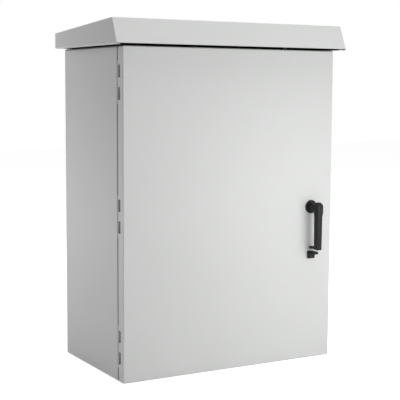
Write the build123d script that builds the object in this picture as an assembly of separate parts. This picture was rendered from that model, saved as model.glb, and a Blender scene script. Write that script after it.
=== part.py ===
from build123d import *
import os
from math import acos, cos, hypot, pi, radians, sin, tan

os.makedirs("parts", exist_ok=True)

# Outside of the cabinet, without its rain hood
width = 600.0
height = 800.0
depth = 350.0
sheet = 1.5
bend_radius = 5.0

# Clearances between pieces, and how far a cutter runs past the face that it cuts
seat_gap = 0.3
hole_gap = 0.25
running_gap = 0.05
slide_gap = 0.3
cut_past = 2.5

# Hexagon heads of the small screws
screw_head_size = 8.0
screw_head_height = 3.5
hex_bevel = 0.6
thread_show = 1.0

# Door: a pan with a return flange all round
door_depth = 27.5
door_gap = 3.5
door_inset = 1.0
door_bend_radius = 3.0

# Front of the body: the sheet turns in, then forwards into a gutter lip
return_width = 26.0
gasket_thick = 8.0
gasket_width = 12.0
lip_corner_radius = 10.0

# Rain hood
hood_side = 26.0
hood_front = 21.0
hood_lift = 1.0
hood_front_height = 62.4
hood_back_height = 39.5
fascia_setback = 26.5
fascia_lift = 3.2
hood_hem = 12.0
hood_bend_radius = 3.0
bracket_spread = 400.0
bracket_length = 270.0
bracket_flange = 25.0
bracket_sheet = 2.0
hood_bolt_pitch = 200.0
hood_bolt_radius = 3.0
hood_bolt_head = 4.0
hood_nut_size = 10.0
hood_nut_height = 5.0

# Holes in the back for fixing to a wall or a pole bracket
wall_pitch_x = 530.0
wall_pitch_z = 730.0
wall_hole_radius = 4.5

# Hinges
hinge_margin = 85.5
hinge_inset = 8.0
hinge_setback = 9.5
notch_length = 29.0
notch_pitch = 52.0
notch_depth = 12.0
notch_gap = 1.0
knuckle_radius = 5.5
hinge_pin_radius = 3.0
pin_head_radius = 4.8
pin_head_thick = 1.5
arm_left = 2.5
arm_thick = 5.0
leaf_side_gap = 5.0
leaf_thick = 3.0
leaf_length = 90.0
door_leaf_thick = 2.0
door_leaf_length = 80.0
leaf_screw_pitch = 40.0
leaf_screw_radius = 2.5
leaf_screw_margin = 6.0

# Handle, at mid height near the free edge of the door
handle_inset = 64.0
handle_drop = 1.0
rosette_radius = 17.0
rosette_thick = 4.5
shank_radius = 7.0
neck_radius = 12.0
neck_end_radius = 9.0
grip_stand_off = 36.0
grip_width = 15.5
grip_depth = 12.5
grip_length = 113.0
grip_taper = 1.0
grip_corner = 4.2
grip_foot_corner = 2.5
head_width = 19.5
head_depth = 17.0
head_rise = 14.0
head_fall = 12.0
head_swell = 12.0
head_corner = 4.5
head_chamfer = 3.5
lug_rise = 2.5
lug_thick = 6.5
lug_width = 12.0
lug_end = 3.0
lug_corner = 4.0
shackle_reach = 20.0
shackle_radius = 3.6
hasp_width = 18.0
hasp_height = 19.0
hasp_depth = 10.0
hasp_corner = 1.6
hasp_gap = 4.5
tab_thick = 6.0
tab_reach = 31.0

# Rod lock behind the door: a pinion between two racks
spindle_size = 8.0
spindle_depth = 18.0
gear_module = 2.0
gear_root = 2.5
pinion_teeth = 12
pressure_angle = 25.0
flank_steps = 4
backlash = 0.4
rack_teeth_behind = 2
rack_teeth_ahead = 5
rack_back = 4.0
rack_thick = 8.0
rod_play = 0.4
rod_engagement = 15.5
hub_radius = 7.0
case_half_width = 20.5
case_half_height = 21.0
case_flange = 9.5
case_clearance = 1.5
cam_thick = 3.0
cam_width = 16.0
cam_corner = 4.0
cam_reach = 50.0
cam_screw_radius = 2.5
cam_screw_length = 10.0
cam_screw_hole = 12.5
cam_washer_radius = 8.0
cam_washer_thick = 1.5
guide_offset = 290.0
guide_thick = 12.0
guide_wall = 4.0

# Stiffening rails and pocket inside the door
rail_spread = 330.0
rail_width = 40.0
rail_crown = 20.0
rail_rise = 12.0
rail_margin = 70.0
rail_hole_radius = 4.0
rail_hole_pitch = 60.0
pocket_width = 230.0
pocket_height = 170.0
pocket_depth = 24.0
pocket_wall = 2.0
pocket_bottom = 150.0
pocket_corner = 6.0
pocket_front_drop = 57.0
pocket_notch_radius = 28.0

# Cable entry in the floor
entry_width = 400.0
entry_depth = 120.0
entry_rear_margin = 35.0
gland_overlap = 15.0
gland_thick = 2.0
gland_seal = 3.0
gland_screw_radius = 2.5
gland_screw_columns = 3
grommet_count = 3
grommet_pitch = 120.0
grommet_radius = 16.0
grommet_rim = 4.0

# Mounting plate on four collar studs
plate_width = 500.0
plate_height = 700.0
plate_thick = 2.5
plate_stand_off = 20.0
stud_margin = 15.0
stud_radius = 4.0
stud_thread = 9.75
stud_collar_radius = 8.0
nut_size = 13.0
nut_height = 6.5

# Standard mounting rail, 35 mm wide
din_width = 35.0
din_crown = 25.0
din_rise = 7.5
din_thick = 1.0
din_length = 440.0
breaker_rail_z = 430.0
terminal_rail_z = 210.0

# Wiring ducts
duct_width = 40.0
duct_depth = 60.0
duct_wall = 2.0
duct_slot = 6.0
duct_slot_pitch = 20.0
duct_slot_floor = 20.0
upper_duct_z = 520.0
lower_duct_z = 310.0
lid_thick = 1.5
lid_turn = 6.0

# Controller rack and its plug-in modules
rack_width = 420.0
rack_height = 150.0
rack_depth = 160.0
rack_sheet = 1.5
rack_bottom = 575.0
rack_ear = 18.0
rack_vents_per_bay = 2
rack_vent_width = 5.0
rack_vent_margin = 40.0
rack_guide_width = 3.0
rack_guide_height = 4.0
module_pitch = 50.0
module_panel_thick = 3.0
module_board_gap = 6.0
module_pull_radius = 3.0
module_pull_reach = 15.0
module_pull_bend = 4.5
module_pull_low = 30.0
module_pull_length = 32.0
module_screw_radius = 3.5
module_screw_rise = 2.5
module_screw_margin = 8.0
module_screw_slot = 1.2
lamp_count = 6
lamp_radius = 1.6
lamp_depth = 1.0
lamp_pitch = 9.0
lamp_drop = 20.0
processor_bays = 2
display_width = 56.0
display_height = 20.0
display_drop = 28.0
display_depth = 1.2
port_width = 31.0
port_height = 12.0
port_rise = 5.0
port_wall = 1.5
port_level = 14.0

# Circuit breakers
breaker_width = 17.6
breaker_pitch = 18.0
breaker_count = 3
breaker_height = 82.0
breaker_depth = 44.0
breaker_nose = 66.0
breaker_nose_height = 45.0
breaker_slope = 4.0
clamp_hole_radius = 3.0
clamp_hole_margin = 7.0
clamp_hole_depth = 22.0
toggle_radius = 6.0
toggle_width = 9.0
toggle_length = 8.0
toggle_root = 5.0
toggle_tip = 3.0
toggle_sink = 3.0
toggle_throw = 60.0

# Power supply beside the breakers
power_supply_width = 90.0
power_supply_height = 110.0
power_supply_depth = 100.0
power_supply_corner = 2.0
power_supply_slots = 8
power_slot_width = 4.0
power_slot_depth = 2.0
power_slot_margin = 15.0
power_step_height = 18.0
power_step_depth = 14.0
power_clamps = 6

# Field terminals and earth bar
terminal_count = 14
terminal_pitch = 12.0
terminal_height = 48.0
terminal_depth = 46.0
terminal_shoulder = 18.0
terminal_top = 24.0
terminal_groove = 0.8
terminal_groove_depth = 12.0
terminal_hole_radius = 2.6
terminal_hole_depth = 14.0
terminal_hole_offset = 6.7
earth_bar_length = 200.0
earth_bar_height = 12.0
earth_bar_thick = 6.0
earth_bar_z = 105.0
earth_screw_count = 8
earth_screw_pitch = 20.0
earth_screw_radius = 4.0
earth_screw_rise = 3.0

# Planes and lines worked out from the sizes above
half_width = width / 2
back_y = depth / 2
front_y = -depth / 2
flange_y = front_y + door_depth
face_y = flange_y + door_gap
door_inner_y = front_y + sheet
return_inner_y = face_y + sheet
lip_tip_y = door_inner_y + gasket_thick + seat_gap
lip_outer = half_width - return_width
lip_inner = lip_outer - sheet
handle_x = half_width - handle_inset
handle_z = height / 2 - handle_drop
hinge_x = -half_width + hinge_inset
hinge_y = flange_y - hinge_setback
hinge_heights = {"lower": hinge_margin, "middle": height / 2, "upper": height - hinge_margin}
arm_length = notch_length - 2 * notch_gap
back_inner_y = back_y - sheet
plate_front_y = back_inner_y - plate_stand_off - plate_thick
leaf_screw_x = -lip_outer - leaf_screw_margin
leaf_screw_offsets = (-leaf_screw_pitch / 2, leaf_screw_pitch / 2)

# Rod lock: the racks lie just behind the front return, and the cam's crank swings clear of their ends
pitch_radius = gear_module * pinion_teeth / 2
tooth_pitch = pi * gear_module
travel = pitch_radius * pi / 2
rod_radius = rack_thick / 2
rod_y = return_inner_y + rod_play + rod_radius
rod_x = pitch_radius + gear_root
web_y = rod_y + rod_radius + case_clearance
cam_y = web_y + sheet + seat_gap
cam_crank = hypot(rod_x + rack_back, rack_teeth_behind * tooth_pitch + travel) + slide_gap


def block(x0, x1, y0, y1, z0, z1):
    return Pos((x0 + x1) / 2, (y0 + y1) / 2, (z0 + z1) / 2) * Box(x1 - x0, y1 - y0, z1 - z0)


def rounded_block(x0, x1, y0, y1, z0, z1, radius):
    solid = block(x0, x1, y0, y1, z0, z1)
    return fillet(solid.edges(), radius)


def upright(x, y, radius, z0, z1):
    return Pos(x, y, (z0 + z1) / 2) * Cylinder(radius, z1 - z0)


def crosswise(x, z, radius, y0, y1):
    return Pos(x, (y0 + y1) / 2, z) * Rot(90, 0, 0) * Cylinder(radius, y1 - y0)


def lengthwise(y, z, radius, x0, x1):
    return Pos((x0 + x1) / 2, y, z) * Rot(0, 90, 0) * Cylinder(radius, x1 - x0)


def side_profile(points, x0, x1):
    outline = Polyline(*[(x0, y, z) for y, z in points], close=True)
    return extrude(make_face(outline), amount=x1 - x0, dir=(1, 0, 0))


def plan_profile(points, z0, z1):
    outline = Polyline(*[(x, y, z0) for x, y in points], close=True)
    return extrude(make_face(outline), amount=z1 - z0, dir=(0, 0, 1))


def front_profile(points, y0, y1):
    outline = Polyline(*[(x, y0, z) for x, z in points], close=True)
    return extrude(make_face(outline), amount=y1 - y0, dir=(0, 1, 0))


def rounded_ring(half_x, z0, z1, wall, radius, y0, y1):
    outer = block(-half_x, half_x, y0, y1, z0, z1)
    outer = fillet(outer.edges().filter_by(Axis.Y), radius)
    inner = block(-half_x + wall, half_x - wall, y0, y1, z0 + wall, z1 - wall)
    inner = fillet(inner.edges().filter_by(Axis.Y), max(radius - wall, radius / 2))
    return outer - inner


def hex_prism(size, thick):
    return extrude(RegularPolygon(size / 2, 6, major_radius=False), amount=thick)


def save(shape, name):
    export_step(shape, f"parts/{name}.step")


# Screw standing on its head: the shank runs along +Z from the seat at the origin
def screw(radius, length, size, head_height):
    shank = Pos(0, 0, length / 2) * Cylinder(radius, length)
    head = Pos(0, 0, -head_height) * hex_prism(size, head_height)
    head = chamfer(head.edges().group_by(Axis.Z)[0], hex_bevel)
    return head + shank


def wall_holes():
    holes = []
    for x in (-wall_pitch_x / 2, wall_pitch_x / 2):
        for z in (height / 2 - wall_pitch_z / 2, height / 2 + wall_pitch_z / 2):
            holes.append(crosswise(x, z, wall_hole_radius, back_inner_y - cut_past, back_y + cut_past))
    return holes


def stud_places():
    x = plate_width / 2 - stud_margin
    z = plate_height / 2 - stud_margin
    return [(sx * x, height / 2 + sz * z) for sx in (-1, 1) for sz in (-1, 1)]


def entry_bounds(grow):
    y1 = back_inner_y - entry_rear_margin + grow
    y0 = back_inner_y - entry_rear_margin - entry_depth - grow
    return -entry_width / 2 - grow, entry_width / 2 + grow, y0, y1


def gland_screw_places():
    x0, x1, y0, y1 = entry_bounds(gland_overlap / 2)
    columns = [x0 + (x1 - x0) * i / (gland_screw_columns - 1) for i in range(gland_screw_columns)]
    return [(x, y) for x in columns for y in (y0, y1)]


def hood_bolt_places():
    x = bracket_spread / 2
    return [(sx * x, sy * hood_bolt_pitch / 2) for sx in (-1, 1) for sy in (-1, 1)]


# Body: one folded and welded shell, closed at the back, with a gutter lip round its open front
def body_shell():
    shell = rounded_block(-half_width, half_width, face_y, back_y, 0, height, bend_radius)
    hollow = rounded_block(
        -half_width + sheet, half_width - sheet, return_inner_y, back_inner_y,
        sheet, height - sheet, bend_radius - sheet)
    shell -= hollow
    mouth = block(-lip_inner, lip_inner, lip_tip_y, return_inner_y + cut_past,
                  half_width - lip_inner, height - half_width + lip_inner)
    mouth = fillet(mouth.edges().filter_by(Axis.Y), lip_corner_radius - sheet)
    lip = rounded_ring(lip_outer, return_width, height - return_width, sheet, lip_corner_radius,
                       lip_tip_y, return_inner_y)
    shell = shell - mouth + lip
    for hole in wall_holes():
        shell -= hole
    x0, x1, y0, y1 = entry_bounds(0)
    entry = block(x0, x1, y0, y1, -cut_past, sheet + cut_past)
    shell -= fillet(entry.edges().filter_by(Axis.Z), bend_radius)
    for x, y in gland_screw_places():
        shell -= upright(x, y, gland_screw_radius + hole_gap, -cut_past, sheet + cut_past)
    for x, y in hood_bolt_places():
        shell -= upright(x, y, hood_bolt_radius + hole_gap, height - sheet - cut_past, height + cut_past)
    for z in hinge_heights.values():
        for side in (-1, 1):
            middle = z + side * notch_pitch / 2
            shell -= block(hinge_x + arm_left - notch_gap / 2,
                           hinge_x + arm_left + arm_thick + notch_gap / 2,
                           face_y - cut_past, return_inner_y + cut_past,
                           middle - arm_length / 2 - notch_gap / 2,
                           middle + arm_length / 2 + notch_gap / 2)
        for offset in leaf_screw_offsets:
            shell -= crosswise(leaf_screw_x, z + offset, leaf_screw_radius + hole_gap,
                               face_y - cut_past, return_inner_y + cut_past)
    return shell


# Rain hood: a folded cap, sloping to the back, with its fascia leaning out and a turned-in hem all round.
# Its sides hang lower than the hem of the fascia
def hood_outline(inset):
    low = height + hood_lift + inset
    front_top = height + hood_lift + hood_front_height
    back_top = height + hood_lift + hood_back_height
    front = front_y - hood_front
    slope = (front_top - back_top) / (back_y - front - fascia_setback)
    lean = fascia_setback / hood_front_height
    drop = inset * (1 + slope ** 2) ** 0.5
    push = inset * (1 + lean ** 2) ** 0.5
    rear = back_y - inset
    bottom_front = front + lean * inset + push
    corner_z = front_top - drop + slope * (fascia_setback + front)
    top_front = (front + push - lean * (height + hood_lift) + lean * corner_z) / (1 + lean * slope)
    return [
        (bottom_front, low),
        (top_front, corner_z - slope * top_front),
        (rear, corner_z - slope * rear),
        (rear, low),
    ]


def hood_top_z(y, inset):
    points = hood_outline(inset)
    (y0, z0), (y1, z1) = points[1], points[2]
    return z0 + (z1 - z0) * (y - y0) / (y1 - y0)


def rain_hood():
    half = half_width + hood_side
    low = height + hood_lift
    front = front_y - hood_front
    cap = side_profile(hood_outline(0), -half, half)
    cap = fillet(cap.edges(), hood_bend_radius)
    hollow = side_profile(hood_outline(sheet), -half + sheet, half - sheet)
    hollow = fillet(hollow.edges(), hood_bend_radius - sheet)
    mouth = block(-half + hood_hem, half - hood_hem, front + hood_hem, back_y - sheet,
                  low - cut_past, low + sheet + cut_past)
    mouth = fillet(mouth.edges().filter_by(Axis.Z), hood_bend_radius)
    between = half - hood_bend_radius
    rise = block(-between, between, front - cut_past, front + hood_hem, low - cut_past, low + fascia_lift)
    hem = block(-between, between, front - cut_past, front + hood_hem,
                low + fascia_lift, low + fascia_lift + sheet)
    return cap - hollow - mouth - rise + (cap & hem)


# Hood bracket: a folded channel from the roof of the body up to the sloping hood
def hood_bracket(side):
    y0 = -bracket_length / 2
    y1 = bracket_length / 2
    top = [(y, hood_top_z(y, sheet) - running_gap) for y in (y0, y1)]
    under = [(y, z - bracket_sheet) for y, z in top]
    x = side * bracket_spread / 2
    web_x = x + side * bracket_flange / 2
    web_x0 = min(web_x, web_x - side * bracket_sheet)
    web = side_profile([(y0, height), (y1, height), top[1], top[0]], web_x0, web_x0 + bracket_sheet)
    foot = block(x - bracket_flange / 2, x + bracket_flange / 2, y0, y1, height, height + bracket_sheet)
    crown = side_profile([top[0], top[1], under[1], under[0]], x - bracket_flange / 2, x + bracket_flange / 2)
    bracket = web + foot + crown
    for y in (-hood_bolt_pitch / 2, hood_bolt_pitch / 2):
        bracket -= upright(x, y, hood_bolt_radius + hole_gap, height - cut_past,
                           height + bracket_sheet + cut_past)
    return bracket


# Bolts from inside the roof, each with its nut on the bracket's foot
def hood_fixings():
    length = sheet + bracket_sheet + hood_nut_height + thread_show
    nut_z = height + bracket_sheet
    pieces = []
    for x, y in hood_bolt_places():
        bolt = screw(hood_bolt_radius, length, hood_nut_size, hood_bolt_head)
        pieces.append(Pos(x, y, height - sheet) * bolt)
        nut = Pos(x, y, nut_z) * hex_prism(hood_nut_size, hood_nut_height)
        bore = upright(x, y, hood_bolt_radius + running_gap, nut_z - cut_past,
                       nut_z + hood_nut_height + cut_past)
        pieces.append(nut - bore)
    return Compound(pieces)


# Door: one folded pan with the hinge notches cut in its left flange
def door_panel():
    low = door_inset
    high = height - door_inset
    pan = block(-half_width, half_width, front_y, flange_y, low, high)
    front_edges = pan.edges().group_by(Axis.Y)[0]
    pan = fillet(front_edges + pan.edges().filter_by(Axis.Y), door_bend_radius)
    hollow = block(-half_width + sheet, half_width - sheet, door_inner_y, flange_y,
                   low + sheet, high - sheet)
    hollow_edges = hollow.edges().group_by(Axis.Y)[0] + hollow.edges().filter_by(Axis.Y)
    pan -= fillet(hollow_edges, door_bend_radius - sheet)
    for z in hinge_heights.values():
        for side in (-1, 1):
            middle = z + side * notch_pitch / 2
            pan -= block(-half_width - cut_past, -half_width + sheet + cut_past, flange_y - notch_depth,
                         flange_y + cut_past, middle - notch_length / 2, middle + notch_length / 2)
    return pan - crosswise(handle_x, handle_z, shank_radius + hole_gap, front_y - cut_past,
                           door_inner_y + cut_past)


def door_gasket():
    half = lip_outer - sheet / 2 + gasket_width / 2
    low = half_width - half
    return rounded_ring(half, low, height - low, gasket_width, lip_corner_radius + gasket_width / 2,
                        door_inner_y, door_inner_y + gasket_thick)


# Top-hat stiffening rail with its row of holes, welded inside the door
def door_rail(side):
    x = side * rail_spread / 2
    y = door_inner_y
    wide = rail_width / 2
    crown = rail_crown / 2
    hat = [
        (x - wide, y), (x - crown - sheet, y), (x - crown - sheet, y + rail_rise),
        (x + crown + sheet, y + rail_rise), (x + crown + sheet, y), (x + wide, y),
        (x + wide, y + sheet), (x + crown + 2 * sheet, y + sheet),
        (x + crown + 2 * sheet, y + rail_rise + sheet), (x - crown - 2 * sheet, y + rail_rise + sheet),
        (x - crown - 2 * sheet, y + sheet), (x - wide, y + sheet),
    ]
    rail = plan_profile(hat, rail_margin, height - rail_margin)
    count = int((height - 2 * rail_margin) // rail_hole_pitch)
    for i in range(count):
        z = height / 2 + (i - (count - 1) / 2) * rail_hole_pitch
        rail -= crosswise(x, z, rail_hole_radius, y + rail_rise - cut_past, y + rail_rise + sheet + cut_past)
    return rail


# Pocket for the wiring diagrams: open at the top, lower at its front, with a finger notch
def document_pocket():
    y0 = door_inner_y
    y1 = y0 + pocket_depth
    x0 = -pocket_width / 2
    top = pocket_bottom + pocket_height
    front_top = top - pocket_front_drop
    shell = side_profile([(y0, pocket_bottom), (y1, pocket_bottom), (y1, front_top), (y0, top)], x0, -x0)
    shell = fillet(shell.edges().filter_by(Axis.Z).group_by(Axis.Y)[-1], pocket_corner)
    shell -= block(x0 + pocket_wall, -x0 - pocket_wall, y0 + pocket_wall, y1 - pocket_wall,
                   pocket_bottom + pocket_wall, top + cut_past)
    notch = crosswise(0, front_top, pocket_notch_radius, y1 - pocket_wall - cut_past, y1 + cut_past)
    return shell - notch


# Hinge leaf on the body: a plate behind the return with two arms that reach out through it
def hinge_body_leaf(z):
    leaf = block(-half_width + sheet + leaf_side_gap, -lip_outer - seat_gap, return_inner_y,
                 return_inner_y + leaf_thick, z - leaf_length / 2, z + leaf_length / 2)
    leaf = fillet(leaf.edges().filter_by(Axis.Y), leaf_thick)
    arm_x = hinge_x + arm_left
    for side in (-1, 1):
        z0 = z + side * notch_pitch / 2 - arm_length / 2
        z1 = z0 + arm_length
        leaf += block(arm_x, arm_x + arm_thick, hinge_y, return_inner_y, z0, z1)
        leaf += upright(hinge_x, hinge_y, knuckle_radius, z0, z1)
        leaf -= upright(hinge_x, hinge_y, hinge_pin_radius + running_gap, z0, z1)
    for offset in leaf_screw_offsets:
        leaf -= crosswise(leaf_screw_x, z + offset, leaf_screw_radius + hole_gap,
                          return_inner_y - cut_past, return_inner_y + leaf_thick + cut_past)
    return leaf


# Hinge leaf on the door: an angle in the corner of the pan that carries the middle knuckle
def hinge_door_leaf(z):
    x0 = -half_width + sheet
    y0 = door_inner_y
    x1 = -lip_outer - gasket_width / 2 + sheet / 2 - seat_gap
    y1 = hinge_y - knuckle_radius - notch_gap
    t = door_leaf_thick
    angle = plan_profile([(x0, y0), (x1, y0), (x1, y0 + t), (x0 + t, y0 + t), (x0 + t, y1), (x0, y1)],
                         z - door_leaf_length / 2, z + door_leaf_length / 2)
    corner = angle.edges().filter_by(Axis.Z).sort_by(lambda e: e.center().X + e.center().Y)[0]
    angle = fillet(corner, door_bend_radius - sheet + seat_gap)
    half = notch_pitch / 2 - arm_length / 2 - seat_gap
    angle += block(x0 + t / 2, hinge_x - t, y0 + t, hinge_y, z - half, z + half)
    angle += upright(hinge_x, hinge_y, knuckle_radius, z - half, z + half)
    return angle - upright(hinge_x, hinge_y, hinge_pin_radius + running_gap, z - half, z + half)


def hinge_pin(z):
    reach = notch_pitch / 2 + arm_length / 2
    pin = upright(hinge_x, hinge_y, hinge_pin_radius, z - reach, z + reach)
    head = upright(hinge_x, hinge_y, pin_head_radius, z + reach, z + reach + pin_head_thick)
    return pin + fillet(head.edges().group_by(Axis.Z)[-1], pin_head_thick / 2)


def leaf_screws():
    screws = []
    length = leaf_thick + sheet
    for z in hinge_heights.values():
        for offset in leaf_screw_offsets:
            place = Pos(leaf_screw_x, return_inner_y + leaf_thick, z + offset) * Rot(90, 0, 0)
            screws.append(place * screw(leaf_screw_radius, length, screw_head_size, screw_head_height))
    return Compound(screws)


# Rosette under the lever: a turned ring with a raised rim, bored for the lever's shank
def handle_rosette():
    y1 = front_y
    disc = crosswise(handle_x, handle_z, rosette_radius, y1 - rosette_thick, y1)
    disc = chamfer(disc.edges().group_by(Axis.Y)[0], rosette_thick / 4)
    step = crosswise(handle_x, handle_z, neck_radius + 2 * slide_gap, y1 - rosette_thick - cut_past,
                     y1 - rosette_thick / 2)
    bore = crosswise(handle_x, handle_z, shank_radius + running_gap, y1 - rosette_thick - cut_past,
                     y1 + cut_past)
    return disc - step - bore


def rounded_section(x, y, z, wide, deep, radius):
    return Plane((x, y, z)) * RectangleRounded(wide, deep, radius)


# Lever: shank, tapered neck, faceted head and tapering grip, with a lug for the padlock at its foot
def handle_lever():
    grip_y = front_y - grip_stand_off
    foot_z = handle_z - grip_length
    face = front_y - rosette_thick / 2 - slide_gap
    foot = rounded_section(handle_x, grip_y, foot_z, grip_width, grip_depth, grip_corner)
    waist = rounded_section(handle_x, grip_y, handle_z - head_fall - head_swell, grip_width + grip_taper,
                            grip_depth + grip_taper, grip_corner)
    shoulder = rounded_section(handle_x, grip_y, handle_z - head_fall, head_width, head_depth, head_corner)
    grip = loft([foot, waist])
    grip = fillet(grip.edges().group_by(Axis.Z)[0], grip_foot_corner)
    swell = loft([waist, shoulder])
    head = block(handle_x - head_width / 2, handle_x + head_width / 2, grip_y - head_depth / 2,
                 grip_y + head_depth / 2, handle_z - head_fall, handle_z + head_rise)
    head = fillet(head.edges().filter_by(Axis.Z), head_corner)
    head = chamfer(head.edges().group_by(Axis.Z)[-1], head_chamfer)
    neck = Pos(handle_x, face, handle_z) * Rot(90, 0, 0) * Cone(
        neck_radius, neck_end_radius, face - grip_y, align=(Align.CENTER, Align.CENTER, Align.MIN))
    shank = crosswise(handle_x, handle_z, shank_radius, face, door_inner_y + seat_gap)
    lug_z = foot_z + lug_rise
    lug = block(handle_x - lug_width / 2, handle_x + lug_width / 2, grip_y, front_y - lug_end,
                lug_z, lug_z + lug_thick)
    lug = fillet(lug.edges().filter_by(Axis.Z).group_by(Axis.Y)[-1], lug_corner)
    lug -= upright(handle_x, front_y - shackle_reach, shackle_radius, lug_z - cut_past,
                   lug_z + lug_thick + cut_past)
    lever = grip + swell + head + neck + shank + lug
    return lever - spindle_square(running_gap, front_y - spindle_depth, door_inner_y + cut_past)


# Hasp on the door: a block with a drilled tab under the lever's lug
def padlock_hasp():
    top = handle_z - grip_length + lug_rise - hasp_gap
    x0 = handle_x - hasp_width / 2
    hasp = block(x0, x0 + hasp_width, front_y - hasp_depth, front_y, top - hasp_height, top)
    hasp = fillet(hasp.edges().group_by(Axis.Y)[0] + hasp.edges().filter_by(Axis.Y), hasp_corner)
    tab = block(handle_x - lug_width / 2, handle_x + lug_width / 2, front_y - tab_reach,
                front_y - hasp_depth / 2, top - tab_thick, top)
    tab = fillet(tab.edges().filter_by(Axis.Z).group_by(Axis.Y)[0], lug_corner)
    tab -= upright(handle_x, front_y - shackle_reach, shackle_radius, top - tab_thick - cut_past,
                   top + cut_past)
    return hasp + tab


# Involute pinion, drawn in the plane of the door with one tooth pointing to the free edge
def pinion_outline():
    alpha = radians(pressure_angle)
    base = pitch_radius * cos(alpha)
    tip = pitch_radius + gear_module
    root = pitch_radius - gear_root
    half_tooth = (tooth_pitch - backlash) / 4 / pitch_radius + tan(alpha) - alpha
    flank = []
    for i in range(flank_steps + 1):
        radius = base + (tip - base) * i / flank_steps
        roll = acos(base / radius)
        flank.append((radius, half_tooth - (tan(roll) - roll)))
    points = []
    for tooth in range(pinion_teeth):
        middle = 2 * pi * tooth / pinion_teeth
        points.append((root, middle - half_tooth))
        points += [(radius, middle - angle) for radius, angle in flank]
        points += [(radius, middle + angle) for radius, angle in reversed(flank)]
        points.append((root, middle + half_tooth))
    return [(handle_x + r * cos(a), handle_z + r * sin(a)) for r, a in points]


def lock_pinion():
    gear = front_profile(pinion_outline(), rod_y - rod_radius, rod_y + rod_radius)
    gear += crosswise(handle_x, handle_z, hub_radius, rod_y + rod_radius, cam_y)
    return gear - spindle_square(running_gap, rod_y - rod_radius - cut_past, cam_y + cut_past)


def spindle_square(gap, y0, y1):
    half = spindle_size / 2 + gap
    return block(handle_x - half, handle_x + half, y0, y1, handle_z - half, handle_z + half)


def lock_spindle():
    spindle = spindle_square(0, front_y - spindle_depth + seat_gap, cam_y + cam_thick - seat_gap)
    return spindle - crosswise(handle_x, handle_z, cam_screw_radius + running_gap,
                               cam_y + cam_thick - cam_screw_hole, cam_y + cam_thick)


# Latch rod: a rack cut in the flat end of a round rod. side is 1 for the upper rod, -1 for the lower
def latch_rod(side):
    flank = tan(radians(pressure_angle))
    crest = pitch_radius - gear_module
    half_pitch_line = (tooth_pitch - backlash) / 4
    half_crest = half_pitch_line - gear_module * flank
    half_root = half_pitch_line + gear_root * flank
    low = -rack_teeth_behind * tooth_pitch
    high = rack_teeth_ahead * tooth_pitch
    points = [(rod_x + rack_back, low), (rod_x, low)]
    for tooth in range(-rack_teeth_behind, rack_teeth_ahead):
        middle = (tooth + 0.5) * tooth_pitch
        points += [(rod_x, middle - half_root), (crest, middle - half_crest),
                   (crest, middle + half_crest), (rod_x, middle + half_root)]
    points += [(rod_x, high), (rod_x + rack_back, high)]
    placed = [(handle_x + side * x, handle_z + side * z) for x, z in points]
    rack = front_profile(placed, rod_y - rod_radius, rod_y + rod_radius)
    lip_z = height / 2 + side * (height / 2 - return_width - sheet)
    tip_z = lip_z + side * rod_engagement
    join_z = handle_z + side * (high - tooth_pitch / 3)
    rod = upright(handle_x + side * rod_x, rod_y, rod_radius, min(tip_z, join_z), max(tip_z, join_z))
    end = rod.edges().group_by(Axis.Z)[-1 if side > 0 else 0]
    return rack + chamfer(end, rod_radius / 2)


# Lock case: a hat section over the pinion, its web bored for the pinion's hub
def lock_case():
    w = case_half_width
    flange = case_half_width + case_flange
    y = door_inner_y
    hat = [(-flange, y), (-w + sheet, y), (-w + sheet, web_y), (w - sheet, web_y), (w - sheet, y),
           (flange, y), (flange, y + sheet), (w, y + sheet), (w, web_y + sheet), (-w, web_y + sheet),
           (-w, y + sheet), (-flange, y + sheet)]
    case = plan_profile([(handle_x + px, py) for px, py in hat], handle_z - case_half_height,
                        handle_z + case_half_height)
    return case - crosswise(handle_x, handle_z, hub_radius + running_gap, web_y - cut_past,
                            web_y + sheet + cut_past)


# Cranked cam: it reaches past the lock case and back to the inside of the return
def latch_cam():
    y0 = cam_y
    y1 = cam_y + cam_thick
    hook = return_inner_y + seat_gap
    half = cam_width / 2
    outline = [(-half, y0), (cam_crank, y0), (cam_crank, hook), (cam_reach, hook),
               (cam_reach, hook + cam_thick), (cam_crank + cam_thick, hook + cam_thick),
               (cam_crank + cam_thick, y1), (-half, y1)]
    cam = plan_profile([(handle_x + px, py) for px, py in outline], handle_z - half, handle_z + half)
    ends = cam.edges().filter_by(Axis.Y)
    cam = fillet(ends.group_by(Axis.X)[0] + ends.group_by(Axis.X)[-1], cam_corner)
    return cam - spindle_square(running_gap, y0 - cut_past, y1 + cut_past)


def cam_screw():
    bolt = screw(cam_screw_radius, cam_screw_length, screw_head_size, screw_head_height)
    washer = Pos(0, 0, -cam_washer_thick / 2) * Cylinder(cam_washer_radius, cam_washer_thick)
    bolt = Pos(0, 0, -cam_washer_thick) * bolt + washer
    return Pos(handle_x, cam_y + cam_thick, handle_z) * Rot(90, 0, 0) * bolt


# Rod guide: a block on the inside of the door, bored for its rod
def rod_guide(side):
    x = handle_x + side * rod_x
    z = handle_z + side * guide_offset
    wide = rod_radius + slide_gap + guide_wall
    foot_end = min(x + 2 * wide, lip_inner - gasket_width)
    outline = [(x - wide, rod_y), (x - 2 * wide, door_inner_y), (foot_end, door_inner_y), (x + wide, rod_y)]
    guide = plan_profile(outline, z - guide_thick / 2, z + guide_thick / 2)
    guide += upright(x, rod_y, wide, z - guide_thick / 2, z + guide_thick / 2)
    return guide - upright(x, rod_y, rod_radius + slide_gap, z - guide_thick / 2, z + guide_thick / 2)


# Gland plate over the cable entry, with its seal, screws and blind grommets
def gland_layer(z0, thick):
    x0, x1, y0, y1 = entry_bounds(gland_overlap)
    layer = block(x0, x1, y0, y1, z0, z0 + thick)
    layer = fillet(layer.edges().filter_by(Axis.Z), bend_radius)
    for x, y in gland_screw_places():
        layer -= upright(x, y, gland_screw_radius + hole_gap, z0 - cut_past, z0 + thick + cut_past)
    return layer


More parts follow.
